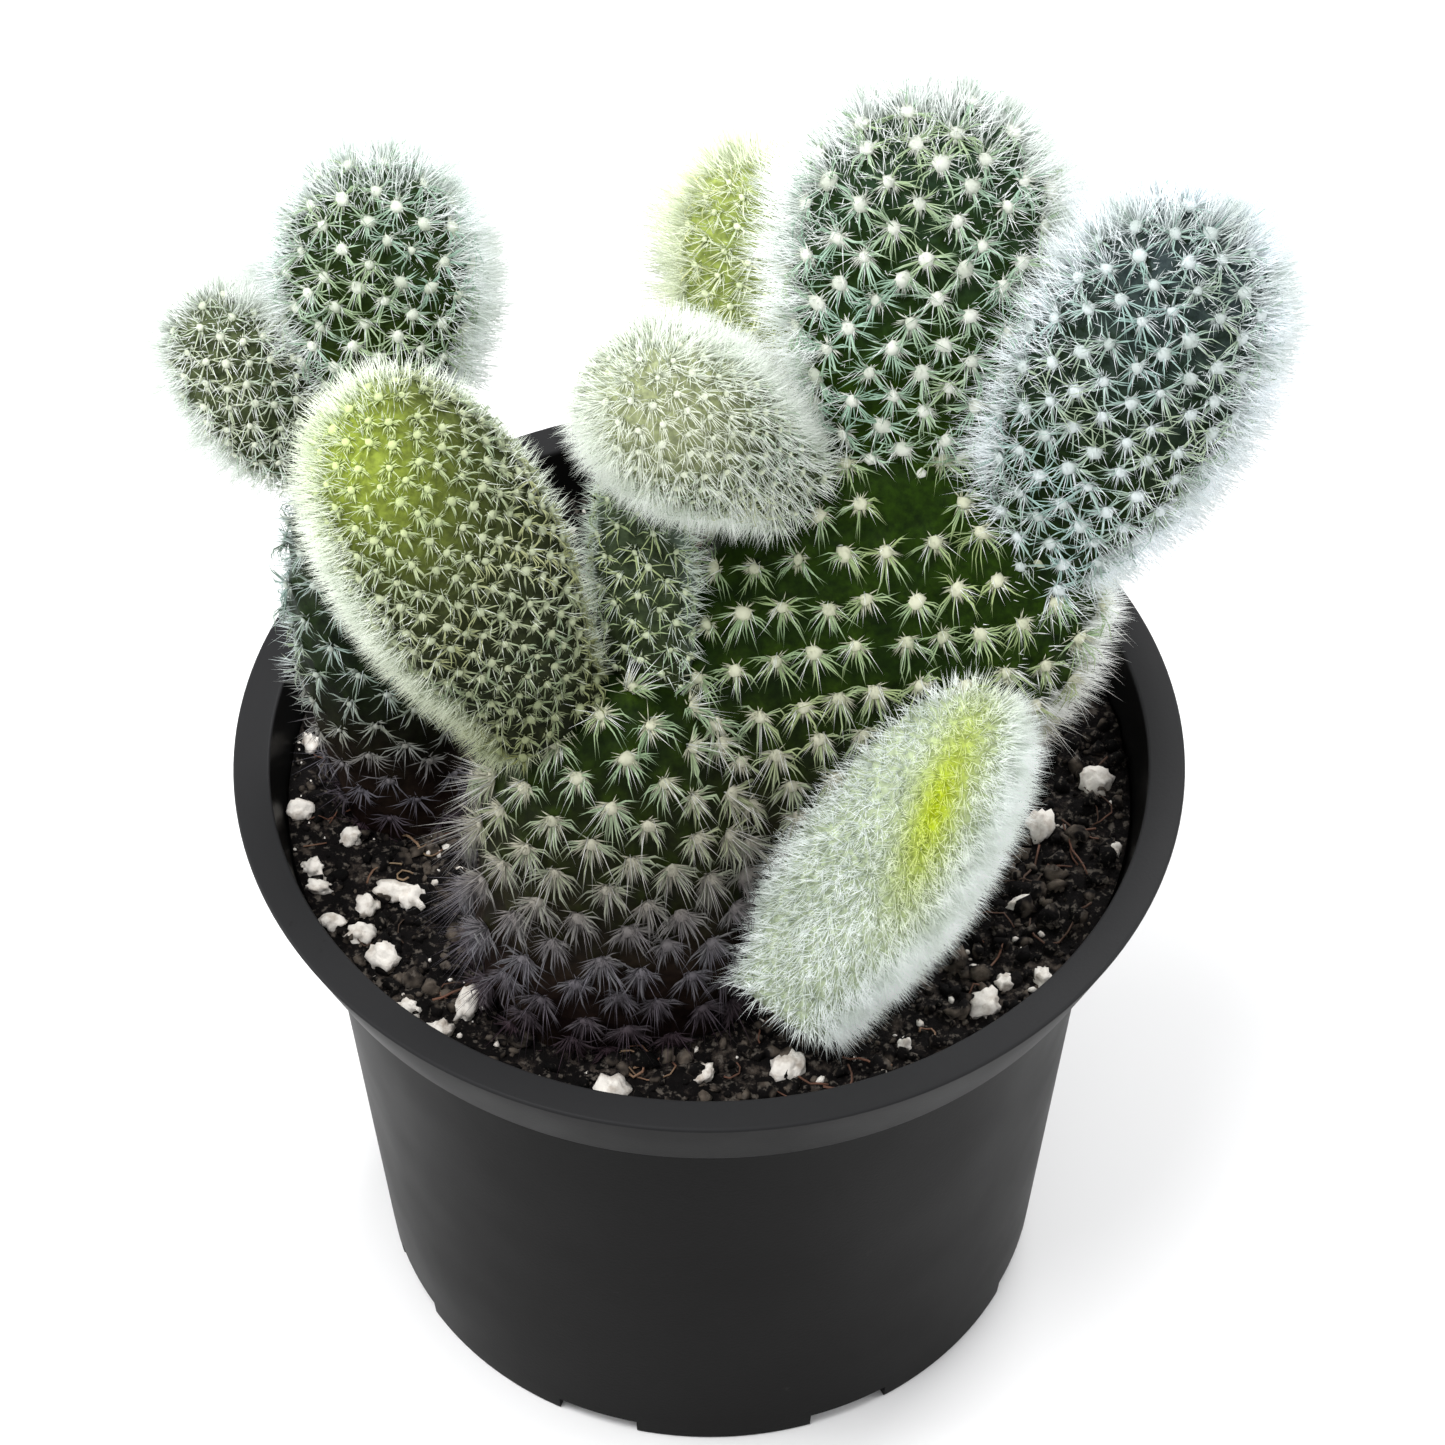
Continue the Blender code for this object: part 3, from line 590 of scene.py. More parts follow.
def raise_bumps(skin, places, rise, spacing):
    """Lift a low bump under each tuft, and the tuft with it."""
    corners, normals = mesh_arrays(skin)
    tree = KDTree(len(places))
    for index, place in enumerate(places):
        tree.insert(place[:3], index)
    tree.balance()
    distance = np.array([tree.find(corner)[2] for corner in corners])
    height = np.exp(-(distance / (BUMP_REACH * spacing * MM)) ** 2)
    rough = np.array([noise.noise(Vector(corner) * PORE_SCALE) for corner in corners])
    wave = np.array([noise.noise(Vector(corner) * WAVE_SCALE) for corner in corners])
    lift = rise * MM * (height - BUMP_SINK) + PORE_HEIGHT * rough + WAVE_HEIGHT * wave
    moved = corners + normals * lift[:, None]
    skin.vertices.foreach_set("co", moved.astype(np.float32).ravel())
    skin.update()
    set_attribute(skin, "rise", height)
    places[:, :3] += (1.0 - BUMP_SINK) * rise * MM * unit_rows(places[:, 3:6])


# Hairs

def hair_mesh(roots, middles, tips, radius, bent):
    """Thin closed three-sided hairs, straight or with one bend."""
    direction = unit_rows(tips - roots)
    helper = np.where(np.abs(direction[:, 2:3]) < 0.9, [[0.0, 0.0, 1.0]], [[1.0, 0.0, 0.0]])
    side = unit_rows(np.cross(direction, helper))
    rings = triangle_ring(side, np.cross(direction, side))
    corners = [roots + radius[:, None] * ring for ring in rings]
    if bent:
        corners += [middles + BEND_WIDTH * radius[:, None] * ring for ring in rings]
        pattern = [(0, 2, 1)]
        for turn in range(3):
            after = (turn + 1) % 3
            pattern += [(turn, after, 3 + after), (turn, 3 + after, 3 + turn)]
            pattern.append((3 + turn, 3 + after, 6))
        shares = np.array([0.0, 0.0, 0.0, 0.5, 0.5, 0.5, 1.0])
    else:
        pattern = [(0, 2, 1), (0, 1, 3), (1, 2, 3), (2, 0, 3)]
        shares = np.array([0.0, 0.0, 0.0, 1.0])
    corners.append(tips)
    starts = np.arange(len(roots)) * len(corners)
    faces = (starts[:, None, None] + np.array(pattern)[None, :, :]).reshape(-1, 3)
    return np.stack(corners, axis=1).reshape(-1, 3), faces, np.tile(shares, len(roots))


def straight_hairs(points, directions, size, kind, draw):
    """Straight hairs of one kind from points along directions, as arrays."""
    radius = kind["radius"] * MM * draw.uniform(0.8, 1.2, len(points))
    return points, points, points + size[:, None] * directions, radius, False, kind["shares"]


def tuft_stands(name, places, draw):
    """Where the tufts of a pad sit and how each one stands."""
    style = STYLES[name]
    points = places[:, :3]
    normals = unit_rows(places[:, 3:6])
    down = normals * normals[:, 2:3] - np.array((0.0, 0.0, 1.0))
    down = unit_rows(down + np.array((1e-4, -1e-3, 0.0)))
    height = (SHAGGY_HIGH - points[:, 2]) / (SHAGGY_HIGH - SHAGGY_LOW)
    return SimpleNamespace(
        count=len(places), points=points, normals=normals, down=down,
        across=np.cross(normals, down), edge=places[:, 6],
        vigour=draw.uniform(*VIGOUR, len(places)),
        bright=pad_painted_light(name, points) if style.glow else np.zeros(len(places)),
        shaggy=style.shag * np.clip(height, 0.0, 1.0))


def flat_direction(tufts, owner, turn):
    """Directions along the skin, at an angle from straight down."""
    down = np.cos(turn)[:, None] * tufts.down[owner]
    return down + np.sin(turn)[:, None] * tufts.across[owner]


def arm_hairs(style, tufts, draw):
    """The bent arms that fan out of each tuft, as arrays."""
    arms = style.arms
    strands = style.strands
    owner = np.repeat(np.arange(tufts.count), arms * strands)
    arm = np.tile(np.repeat(np.arange(arms), strands), tufts.count)
    phase = np.repeat(draw.uniform(-0.5, 0.5, tufts.count), arms * strands)
    turn = (arm + 0.5 + phase) / arms * 2.0 * math.pi - math.pi
    turn = turn * (1.0 - ARM_FAN * style.droop)
    turn += np.repeat(draw.normal(0.0, ARM_STRAY, tufts.count * arms), strands)
    turn += draw.normal(0.0, STRAND_STRAY, len(turn))
    lean = np.radians(draw.uniform(*ARM["tilt"], len(turn)))
    shaggy = tufts.shaggy[owner]
    size = style.length * MM * tufts.vigour[owner] * draw.uniform(*ARM["reach"], len(turn))
    size *= 1.0 - 0.30 * style.droop * 0.5 * (1.0 - np.cos(turn))
    size *= (1.0 + 0.12 * shaggy) * (1.0 - 0.45 * tufts.bright[owner])
    flat = flat_direction(tufts, owner, turn)
    wave = np.repeat(draw.normal(0.0, ARM_WAVE, (tufts.count * arms, 3)), strands, axis=0)
    normals = tufts.normals[owner]
    first = np.cos(lean)[:, None] * normals + np.sin(lean)[:, None] * flat + wave
    start = tufts.points[owner] + ARM_START * flat
    middle = start + 0.5 * size[:, None] * unit_rows(first)
    hang = 0.6 * style.droop + 0.7 * shaggy
    later = flat - 0.30 * normals + hang[:, None] * tufts.down[owner]
    later = later + draw.normal(0.0, ARM_CURL, later.shape)
    tip = middle + 0.5 * size[:, None] * unit_rows(later)
    radius = ARM["radius"] * MM * (1.0 + 0.30 * shaggy) * draw.uniform(0.7, 1.3, len(turn))
    grown = np.repeat(draw.uniform(0.0, 1.0, tufts.count * arms) < ARMS_GROWN, strands)
    return start[grown], middle[grown], tip[grown], radius[grown], True, ARM["shares"]


def bunch_hairs(style, tufts, numbers, kind, draw):
    """The straight hairs of one kind that stand in each tuft, as arrays."""
    total = numbers.sum()
    owner = np.repeat(np.arange(tufts.count), numbers)
    flat = flat_direction(tufts, owner, draw.uniform(0.0, 2.0 * math.pi, total))
    lean = np.radians(kind["tilt"] * np.sqrt(draw.uniform(0.0, 1.0, total)))
    direction = np.cos(lean)[:, None] * tufts.normals[owner] + np.sin(lean)[:, None] * flat
    hang = 0.45 * style.droop + 0.30 * tufts.shaggy[owner]
    direction = unit_rows(direction + hang[:, None] * tufts.down[owner])
    size = style.length * MM * tufts.vigour[owner] * draw.uniform(*kind["reach"], total)
    size *= (0.9 + 0.25 * tufts.edge[owner]) * (1.0 + 0.55 * tufts.shaggy[owner])
    spot = kind["spread"] * MM * np.sqrt(draw.uniform(0.0, 1.0, total))
    start = tufts.points[owner] + spot[:, None] * flat - HAIR_ROOT * tufts.normals[owner]
    return straight_hairs(start, direction, size, kind, draw)


def tuft_hairs(name, places, draw):
    """The arms, core and bristles of all tufts of a pad, as arrays."""
    style = STYLES[name]
    tufts = tuft_stands(name, places, draw)
    groups = [arm_hairs(style, tufts, draw)] if style.arms else []
    core = style.core * (1.0 + 0.6 * tufts.shaggy)
    groups.append(bunch_hairs(style, tufts, core.astype(int), CORE, draw))
    bristles = style.bristles * (0.6 + 0.9 * tufts.edge ** 1.5)
    groups.append(bunch_hairs(style, tufts, bristles.astype(int), BRISTLES, draw))
    return groups


def fringe_crowd(name, points, outward):
    """How thick the edge hairs stand at points of a pad's skin, from 0 to 1."""
    style = STYLES[name]
    along, sideways, _ = pad_places(PADS[name][-1], points)
    edge = 1.0 - np.abs(outward @ pad_axes(PADS[name][-1])[2])
    crowd = edge ** style.hug * np.clip((along - style.fringe_from) / 0.3, 0.0, 1.0)
    left, right = style.fringe_sides
    crowd *= np.clip((sideways - left) / 0.4, 0.0, 1.0)
    crowd *= np.clip((right - sideways) / 0.4, 0.2, 1.0)
    crowd += style.haze * np.clip((along - 0.50) / 0.5, 0.0, 1.0) ** 2
    return crowd, edge


def fringe_hairs(name, skin, draw):
    """Fine pale hairs that stand thick along the edges of a pad, as arrays."""
    style = STYLES[name]
    form = PADS[name][-1]
    corners, normals = mesh_arrays(skin)
    skin.calc_loop_triangles()
    triangles = np.empty(len(skin.loop_triangles) * 3, dtype=np.int32)
    skin.loop_triangles.foreach_get("vertices", triangles)
    triangles = triangles.reshape(-1, 3)
    first, second, third = (corners[triangles[:, index]] for index in range(3))
    area = np.linalg.norm(np.cross(second - first, third - first), axis=1)
    chosen = draw.choice(len(triangles), style.fringe, p=area / area.sum())
    shares = draw.dirichlet((1.0, 1.0, 1.0), len(chosen))
    points = np.einsum("ni,nij->nj", shares, corners[triangles[chosen]])
    outward = unit_rows(np.einsum("ni,nij->nj", shares, normals[triangles[chosen]]))
    crowd, edge = fringe_crowd(name, points, outward)
    kept = draw.uniform(0.0, 1.0, len(points)) < crowd
    points = points[kept]
    heading = outward[kept] + 0.30 * pad_axes(form)[0] + draw.normal(0.0, HEADING_STRAY, points.shape)
    size = style.fringe_length * MM * draw.uniform(*EDGE["reach"], len(points))
    size *= 0.4 + 0.6 * np.clip(edge[kept] / 0.5, 0.0, 1.0)
    start = points - HAIR_ROOT * outward[kept]
    return straight_hairs(start, unit_rows(heading), size, EDGE, draw)


def felt_cushions(places, size, draw):
    """A small felted cushion for each tuft, as arrays."""
    ball, triangles = unit_ball(1)
    count = len(places)
    normals = unit_rows(places[:, 3:6])
    rough = draw.uniform(0.75, 1.25, (count, len(ball), 1))
    corners = ball[None, :, :] * rough * (size * MM * draw.uniform(0.8, 1.2, (count, 1, 1)))
    depth = np.einsum("nij,nj->ni", corners, normals)
    corners -= 0.45 * depth[:, :, None] * normals[:, None, :]
    corners += places[:, None, :3] + 0.2 * MM * normals[:, None, :]
    starts = np.arange(count) * len(ball)
    faces = (starts[:, None, None] + triangles[None, :, :]).reshape(-1, 3)
    return corners.reshape(-1, 3), faces


def grow_tufts(name, skin, places, draw):
    """One piece with all hairs of a pad."""
    bodies = []
    shares = []
    others = [form for other, forms in PADS.items() if other != name for form in forms]
    groups = tuft_hairs(name, places, draw) + [fringe_hairs(name, skin, draw)]
    for start, middle, tip, radius, bent, ends in groups:
        keep = tip[:, 2] > SOIL_LEVEL - HAIR_SINK
        for form in others:
            keep &= pad_depth(form, start) > 1.0
            keep &= pad_depth(form, tip) > 1.0
        corners, triangles, share = hair_mesh(
            start[keep], middle[keep], tip[keep], radius[keep], bent)
        bodies.append((corners, triangles))
        shares.append(ends[0] + (ends[1] - ends[0]) * share)
    if STYLES[name].felt:
        bodies.append(felt_cushions(places, STYLES[name].felt, draw))
        shares.append(np.zeros(len(bodies[-1][0])))
    hairs = joined_bodies(name + "_hairs", bodies)
    set_attribute(hairs.data, "share", np.concatenate(shares))
    if STYLES[name].glow:
        corners = np.vstack([corners for corners, _ in bodies])
        set_attribute(hairs.data, "glow", pad_painted_light(name, corners))
    return hairs


# Materials

def grey(tone):
    """A colour without hue."""
    return (tone, tone, tone)


SPECKLE = [(0.35, grey(0.66)), (0.65, (1.20, 1.20, 1.12))]
# Cork colours, near black as they also hold painted shade
CORK_AND_SHADE = ((0.006, 0.002, 0.003), (0.022, 0.014, 0.010))
FOOT_SHADE_TINT = (0.44, 0.45, 0.33)
DULL_HAIR_TINT = (0.70, 0.73, 0.68)
ARM_TINTS = [(0.38, (0.92, 1.0, 1.05)), (0.50, grey(1.0)), (0.62, (1.08, 1.01, 0.82))]
EDGE_PAINTED_LIGHT = [(0.38, grey(1.0)), (0.42, grey(0.35)), (0.50, grey(0.35)), (0.55, grey(1.0))]
# Hair tints near the soil: grey-brown ageing and painted shade
AGED_AND_SHADED_HAIR = [
    (0.0, (0.046, 0.024, 0.034)), (0.30, (0.15, 0.14, 0.165)), (0.65, (0.29, 0.26, 0.235))]
# Painted light: how strongly each kind of hair glows by emission, by share
PAINTED_HAIR_GLOW = [
    (0.22, grey(0.05)), (0.32, grey(0.15)), (0.41, grey(0.19)), (0.55, grey(0.19)),
    (0.65, grey(0.05))]
SKIN_SHEEN = [(0.3, grey(0.50)), (0.7, grey(0.70))]
POT_TONES = [(0.3, grey(0.0030)), (0.7, (0.0050, 0.0048, 0.0047))]
POT_SHEEN = [(0.3, grey(0.34)), (0.7, grey(0.46))]
RIM_TOP_DUST_AND_LIGHT_TONE = (0.024, 0.024, 0.025)
SCUFF_TONE = (0.016, 0.0155, 0.015)
SOIL_TONES = [
    (0.32, (0.0010, 0.0008, 0.0007)), (0.54, (0.004, 0.003, 0.003)), (0.70, (0.070, 0.056, 0.046))]
CRUMB_TONES = [
    (0.35, (0.001, 0.0008, 0.0007)), (0.53, (0.004, 0.003, 0.003)),
    (0.64, (0.110, 0.090, 0.072)), (0.78, (0.020, 0.015, 0.012))]
FLECK_TONE = (0.090, 0.078, 0.066)
PERLITE_TONES = [(0.30, (0.46, 0.40, 0.34)), (0.55, (0.84, 0.80, 0.74))]
FIBRE_TONES = [
    (0.40, (0.050, 0.028, 0.016)), (0.55, (0.150, 0.060, 0.035)), (0.70, (0.300, 0.220, 0.130))]
FLOOR_TONES = [(0.3, grey(0.92)), (0.7, grey(0.94))]


class Paint:
    """A material in the making, with its node tree and its shader."""

    def __init__(self, name, roughness, specular=0.5):
        self.material = bpy.data.materials.new(name)
        self.material.use_nodes = True
        self.tree = self.material.node_tree
        self.shader = self.tree.nodes["Principled BSDF"]
        self.surface(Roughness=roughness, Specular_IOR_Level=specular)

    def feed(self, node, inputs):
        """Set a node's inputs to numbers or colours, or link them to outputs."""
        for name, value in inputs.items():
            socket = node.inputs[name.replace("_", " ") if isinstance(name, str) else name]
            if isinstance(value, bpy.types.NodeSocket):
                self.tree.links.new(value, socket)
            else:
                socket.default_value = (*value, 1.0) if isinstance(value, tuple) else value

    def surface(self, **inputs):
        """Set or link inputs of the shader."""
        self.feed(self.shader, inputs)

    def node(self, kind, output, **inputs):
        """The output of a new node."""
        made = self.tree.nodes.new("ShaderNode" + kind)
        self.feed(made, inputs)
        return made.outputs[output]

    def noise(self, scale, detail=4.0, roughness=0.55):
        """Noise in the object's own space."""
        return self.node("TexNoise", "Fac", Vector=self.node("TexCoord", "Object"),
                         Scale=scale, Detail=detail, Roughness=roughness)

    def read(self, name):
        """A number that the mesh stores for its corners."""
        reader = self.tree.nodes.new("ShaderNodeAttribute")
        reader.attribute_name = name
        return reader.outputs["Fac"]

    def ramp(self, value, stops):
        """Map a number to colours."""
        ramp = self.tree.nodes.new("ShaderNodeValToRGB")
        elements = ramp.color_ramp.elements
        while len(elements) < len(stops):
            elements.new(0.5)
        for element, (position, colour) in zip(elements, stops):
            element.position = position
            element.color = (*colour, 1.0)
        self.feed(ramp, {"Fac": value})
        return ramp.outputs["Color"]

    def mix(self, factor, first, second, blend="MIX"):
        """Mix two colours by a factor."""
        mix = self.tree.nodes.new("ShaderNodeMix")
        mix.data_type = "RGBA"
        mix.blend_type = blend
        self.feed(mix, {0: factor, 6: first, 7: second})
        return mix.outputs[2]

    def tint(self, first, second):
        """Multiply two colours."""
        return self.mix(1.0, first, second, "MULTIPLY")

    def stretch(self, value, low, high):
        """Stretch a number from low and high to 0 and 1."""
        return self.node("MapRange", "Result", Value=value, From_Min=low, From_Max=high)

    def height_share(self, low, high):
        """Share of the height between two levels above the pot's foot."""
        height = self.node("SeparateXYZ", "Z", Vector=self.node("TexCoord", "Object"))
        return self.stretch(height, low, high)

    def bump(self, height, strength, distance):
        """Let a number bend the surface's normal."""
        self.surface(Normal=self.node(
            "Bump", "Normal", Height=height, Strength=strength, Distance=distance))


def shaded_foot(paint, name, colour):
    """A colour that is darker near the foot of some pads: painted shade."""
    if name not in SHADED_FOOT:
        return colour
    return paint.mix(
        paint.height_share(*SHADED_FOOT[name]), paint.tint(colour, FOOT_SHADE_TINT), colour)


def skin_material(name):
    """Waxy green skin: dark between the bumps, lighter on them and at the tip."""
    style = STYLES[name]
    paint = Paint(name + "_skin", 0.6, 0.06)
    patches = paint.noise(140.0, 3.0)
    mottle = paint.stretch(paint.noise(520.0, 4.0, 0.65), 0.45, 0.70)
    fine = paint.noise(1400.0, 5.0)
    base = paint.mix(paint.read("rise"), style.valley, style.crest)
    tipped = paint.mix(paint.stretch(paint.read("along"), 0.35, 1.0), base, style.tip)
    darker = paint.mix(paint.stretch(patches, 0.35, 0.75), tipped, style.valley)
    colour = paint.mix(mottle, paint.mix(0.6, tipped, darker), style.valley)
    fuzz = paint.stretch(paint.read("fuzz"), 0.20, 1.10)
    colour = paint.mix(fuzz, shaded_foot(paint, name, colour), style.felted)
    # Painted light: a brighter patch painted where light falls on the pad's front
    if style.glow:
        colour = paint.mix(paint.read("glow"), colour, style.glow_skin)
    # Cork near the soil, darkened further as painted shade under the pads
    if name in AGED_AND_SHADED_REACH:
        low = paint.height_share(SOIL_LEVEL, SOIL_LEVEL + AGED_AND_SHADED_REACH[name])
        corked_and_shaded = paint.mix(paint.stretch(patches, 0.30, 0.70), *CORK_AND_SHADE)
        colour = paint.mix(paint.stretch(low, 0.95, 0.25), colour, corked_and_shaded)
    paint.surface(Base_Color=paint.tint(colour, paint.ramp(fine, SPECKLE)),
                  Roughness=paint.ramp(patches, SKIN_SHEEN))
    paint.bump(fine, 0.35, 0.15 * MM)
    return paint.material


def hair_material(name):
    """Pale hairs that glow a little as painted light; the arms are greener, and the lowest on the
    stem grey-brown, partly from age and partly painted shade.
    """
    style = STYLES[name]
    paint = Paint(name + "_hairs", 0.7, 0.12)
    share = paint.read("share")
    colour = paint.ramp(share, [
        (0.20, style.core_hair), (0.30, style.hair), (0.55, style.hair), (0.75, style.arm)])
    tinted = paint.tint(colour, paint.ramp(paint.noise(75.0, 2.0), ARM_TINTS))
    colour = paint.mix(paint.stretch(share, 0.55, 0.75), colour, tinted)
    patches = paint.stretch(paint.noise(260.0, 2.0), 0.40, 0.70)
    colour = paint.mix(patches, colour, paint.tint(colour, DULL_HAIR_TINT))
    colour = shaded_foot(paint, name, colour)
    # Painted light: hairs in the pad's painted highlight are lighter too
    if style.glow:
        glow = paint.tint(paint.read("glow"), paint.ramp(share, EDGE_PAINTED_LIGHT))
        colour = paint.mix(glow, colour, style.glow_hair)
    # Hairs near the soil turn grey-brown with age and darken as painted shade
    if name in AGED_AND_SHADED_REACH:
        low = paint.height_share(SOIL_LEVEL, SOIL_LEVEL + AGED_AND_SHADED_REACH[name])
        aged_and_shaded = paint.mix(0.35, paint.ramp(low, AGED_AND_SHADED_HAIR), colour, "MULTIPLY")
        colour = paint.mix(paint.stretch(low, 1.0, 0.45), colour, aged_and_shaded)
    # Painted light: the hairs glow by emission, the edge hairs most, to brighten the pale halo
    painted_glow = paint.tint(colour, paint.ramp(share, PAINTED_HAIR_GLOW))
    paint.surface(Base_Color=colour, Emission_Color=painted_glow, Emission_Strength=1.0)
    return paint.material


def make_pad(name):
    """A pad's skin with bumps, and its hairs."""
    style = STYLES[name]
    draw = np.random.default_rng(sorted(PADS).index(name) + FIRST_SEED)
    skin = blended_skin(name + "_skin", PADS[name])
    places = tuft_places(name, skin.data, draw)
    raise_bumps(skin.data, places, style.rise, style.spacing)
    corners, normals = mesh_arrays(skin.data)
    set_attribute(skin.data, "along", pad_places(PADS[name][-1], corners)[0])
    set_attribute(skin.data, "fuzz", fringe_crowd(name, corners, normals)[0])
    if style.glow:
        set_attribute(skin.data, "glow", pad_painted_light(name, corners))
    shade_smooth(skin.data)
    hairs = grow_tufts(name, skin.data, places, draw)
    dress(skin, skin_material(name), name)
    dress(hairs, hair_material(name), name, replaces=False)


# Pot

def wall_radius(height):
    """Radius of the pot's plain outer wall at a height."""
    return FOOT_RADIUS + (WALL_TOP_RADIUS - FOOT_RADIUS) * height / WALL_TOP


def inner_radius(height):
    """Radius of the pot's inside, which steps out on a shelf under the rim."""
    heights = (0.0, SHELF_LOW, SHELF_HIGH, POT_HEIGHT)
    radii = (FOOT_RADIUS - WALL, wall_radius(SHELF_LOW) - WALL, SHELF_RADIUS,
             RIM_RADIUS - RIM_WIDTH)
    return float(np.interp(height, heights, radii))


def corner_arc(centre, radius, start, end, steps=5):
    """Points round a rounded corner, in the pot's section."""
    points = []
    for step in range(steps + 1):
        angle = math.radians(start + (end - start) * step / steps)
        points.append((centre[0] + radius * math.cos(angle), centre[1] + radius * math.sin(angle)))
    return points


def turned(name, profile, sides):
    """A body turned round Z; the profile starts and ends on the axis."""
    angles = 2.0 * math.pi * np.arange(sides) / sides
    vertices = [np.array([[0.0, 0.0, profile[0][1]]])]
    vertices += [circle_points(radius, height, angles) for radius, height in profile[1:-1]]
    vertices.append(np.array([[0.0, 0.0, profile[-1][1]]]))
    faces = ring_faces(len(profile) - 2, sides)
    return link(name, mesh_from_arrays(name, np.vstack(vertices), faces))


def notch_cutters():
    """The drain notches round the foot, as one joined cutter."""
    shape = bmesh.new()
    for index in range(NOTCH_COUNT):
        angle = NOTCH_FIRST_ANGLE + 2.0 * math.pi * index / NOTCH_COUNT - math.pi / 2.0
        turn = Matrix.Rotation(angle, 4, "Z") @ Matrix.Translation((FOOT_RADIUS, 0.0, 0.0))
        size = Matrix.Diagonal((2.0 * NOTCH_DEPTH, NOTCH_WIDTH, 2.0 * NOTCH_HEIGHT, 1.0))
        bmesh.ops.create_cube(shape, size=1.0, matrix=turn @ size)
    mesh = bpy.data.meshes.new("notches")
    shape.to_mesh(mesh)
    shape.free()
    return link("notches", mesh)


def make_pot():
    """The pot with rounded edges, a sloping collar and a notched foot."""
    mouth = RIM_RADIUS - RIM_WIDTH
    soft = EDGE_ROUNDING
    collar = (COLLAR_RADIUS - COLLAR_ROUNDING, WALL_TOP + COLLAR_ROUNDING)
    profile = [(0.0, 0.0), (FOOT_RADIUS - NOTCH_DEPTH, 0.0)]
    profile += corner_arc((FOOT_RADIUS - soft, soft), soft, -90.0, 0.0)
    profile += [(wall_radius(share * WALL_TOP), share * WALL_TOP) for share in WALL_LEVELS]
    profile += [(WALL_TOP_RADIUS, WALL_TOP - soft), (WALL_TOP_RADIUS + soft, WALL_TOP)]
    profile += corner_arc(collar, COLLAR_ROUNDING, -90.0, -15.0)
    profile += corner_arc((RIM_RADIUS - soft, POT_HEIGHT - soft), soft, -20.0, 90.0)
    profile += corner_arc((mouth + soft, POT_HEIGHT - soft), soft, 90.0, 180.0)
    profile += [(SHELF_RADIUS, SHELF_HIGH), (inner_radius(SHELF_LOW), SHELF_LOW)]
    profile += [(inner_radius(0.5 * SHELF_LOW), 0.5 * SHELF_LOW)]
    profile += [(inner_radius(FLOOR), FLOOR), (0.0, FLOOR)]
    pot = turned("pot_body", profile, POT_SIDES)
    cutter = notch_cutters()
    cut = pot.modifiers.new("notches", "BOOLEAN")
    cut.operation = "DIFFERENCE"
    cut.solver = "EXACT"
    cut.object = cutter
    applied(pot)
    bpy.data.objects.remove(cutter, do_unlink=True)
    shade_smooth(pot.data)
    pot.data.set_sharp_from_angle(angle=SHARP_ANGLE)
    pot.data.materials.clear()
    dress(pot, pot_material(), "pot")


def pot_material():
    """Satin black moulded plastic with faint scuffs, and a rim top painted lighter: partly dust,
    partly painted light from above.
    """
    paint = Paint("pot_plastic", 0.4, 0.04)
    clouds = paint.noise(45.0, 3.0)
    scuffs = paint.stretch(paint.noise(420.0, 6.0, 0.7), 0.66, 0.80)
    # The rim's flat top is painted lighter: partly dust, partly painted light from above
    top = paint.height_share(DUST_AND_LIGHT_LOW, DUST_AND_LIGHT_HIGH)
    tone = paint.mix(top, paint.ramp(clouds, POT_TONES), RIM_TOP_DUST_AND_LIGHT_TONE)
    paint.surface(Base_Color=paint.mix(scuffs, tone, SCUFF_TONE),
                  Roughness=paint.ramp(clouds, POT_SHEEN))
    paint.bump(paint.noise(2600.0, 3.0), 0.25, 0.05 * MM)
    return paint.material


# Soil

def soil_height(x, y):
    """Height of the soil's uneven surface."""
    place = Vector((x, y, 0.0))
    height = 0.0
    for scale, reach, shift in SOIL_WAVES:
        height += reach * noise.noise(place * scale + Vector(shift))
    return SOIL_LEVEL + height * MM


def soil_body(edge):
    """The soil that fills the pot, uneven at its top."""
    angles = 2.0 * math.pi * np.arange(SOIL_SIDES) / SOIL_SIDES
    low = FLOOR + SOIL_GAP
    rows = [
        circle_points(inner_radius(low) - SOIL_GAP, low, angles),
        circle_points(inner_radius(SHELF_LOW) - SOIL_GAP, SHELF_LOW + SOIL_GAP, angles),
        circle_points(SHELF_RADIUS - SOIL_GAP, SHELF_HIGH + SOIL_GAP, angles)]
    for ring in range(SOIL_RINGS, 0, -1):
        row = circle_points(edge * ring / SOIL_RINGS, 0.0, angles)
        row[:, 2] = [soil_height(x, y) for x, y, _ in row]
        rows.append(row)
    vertices = np.vstack([[[0.0, 0.0, low]], *rows, [[0.0, 0.0, soil_height(0.0, 0.0)]]])
    faces = ring_faces(len(rows), SOIL_SIDES)
    soil = link("soil_body", mesh_from_arrays("soil_body", vertices, faces))
    shade_smooth(soil.data)
    return soil


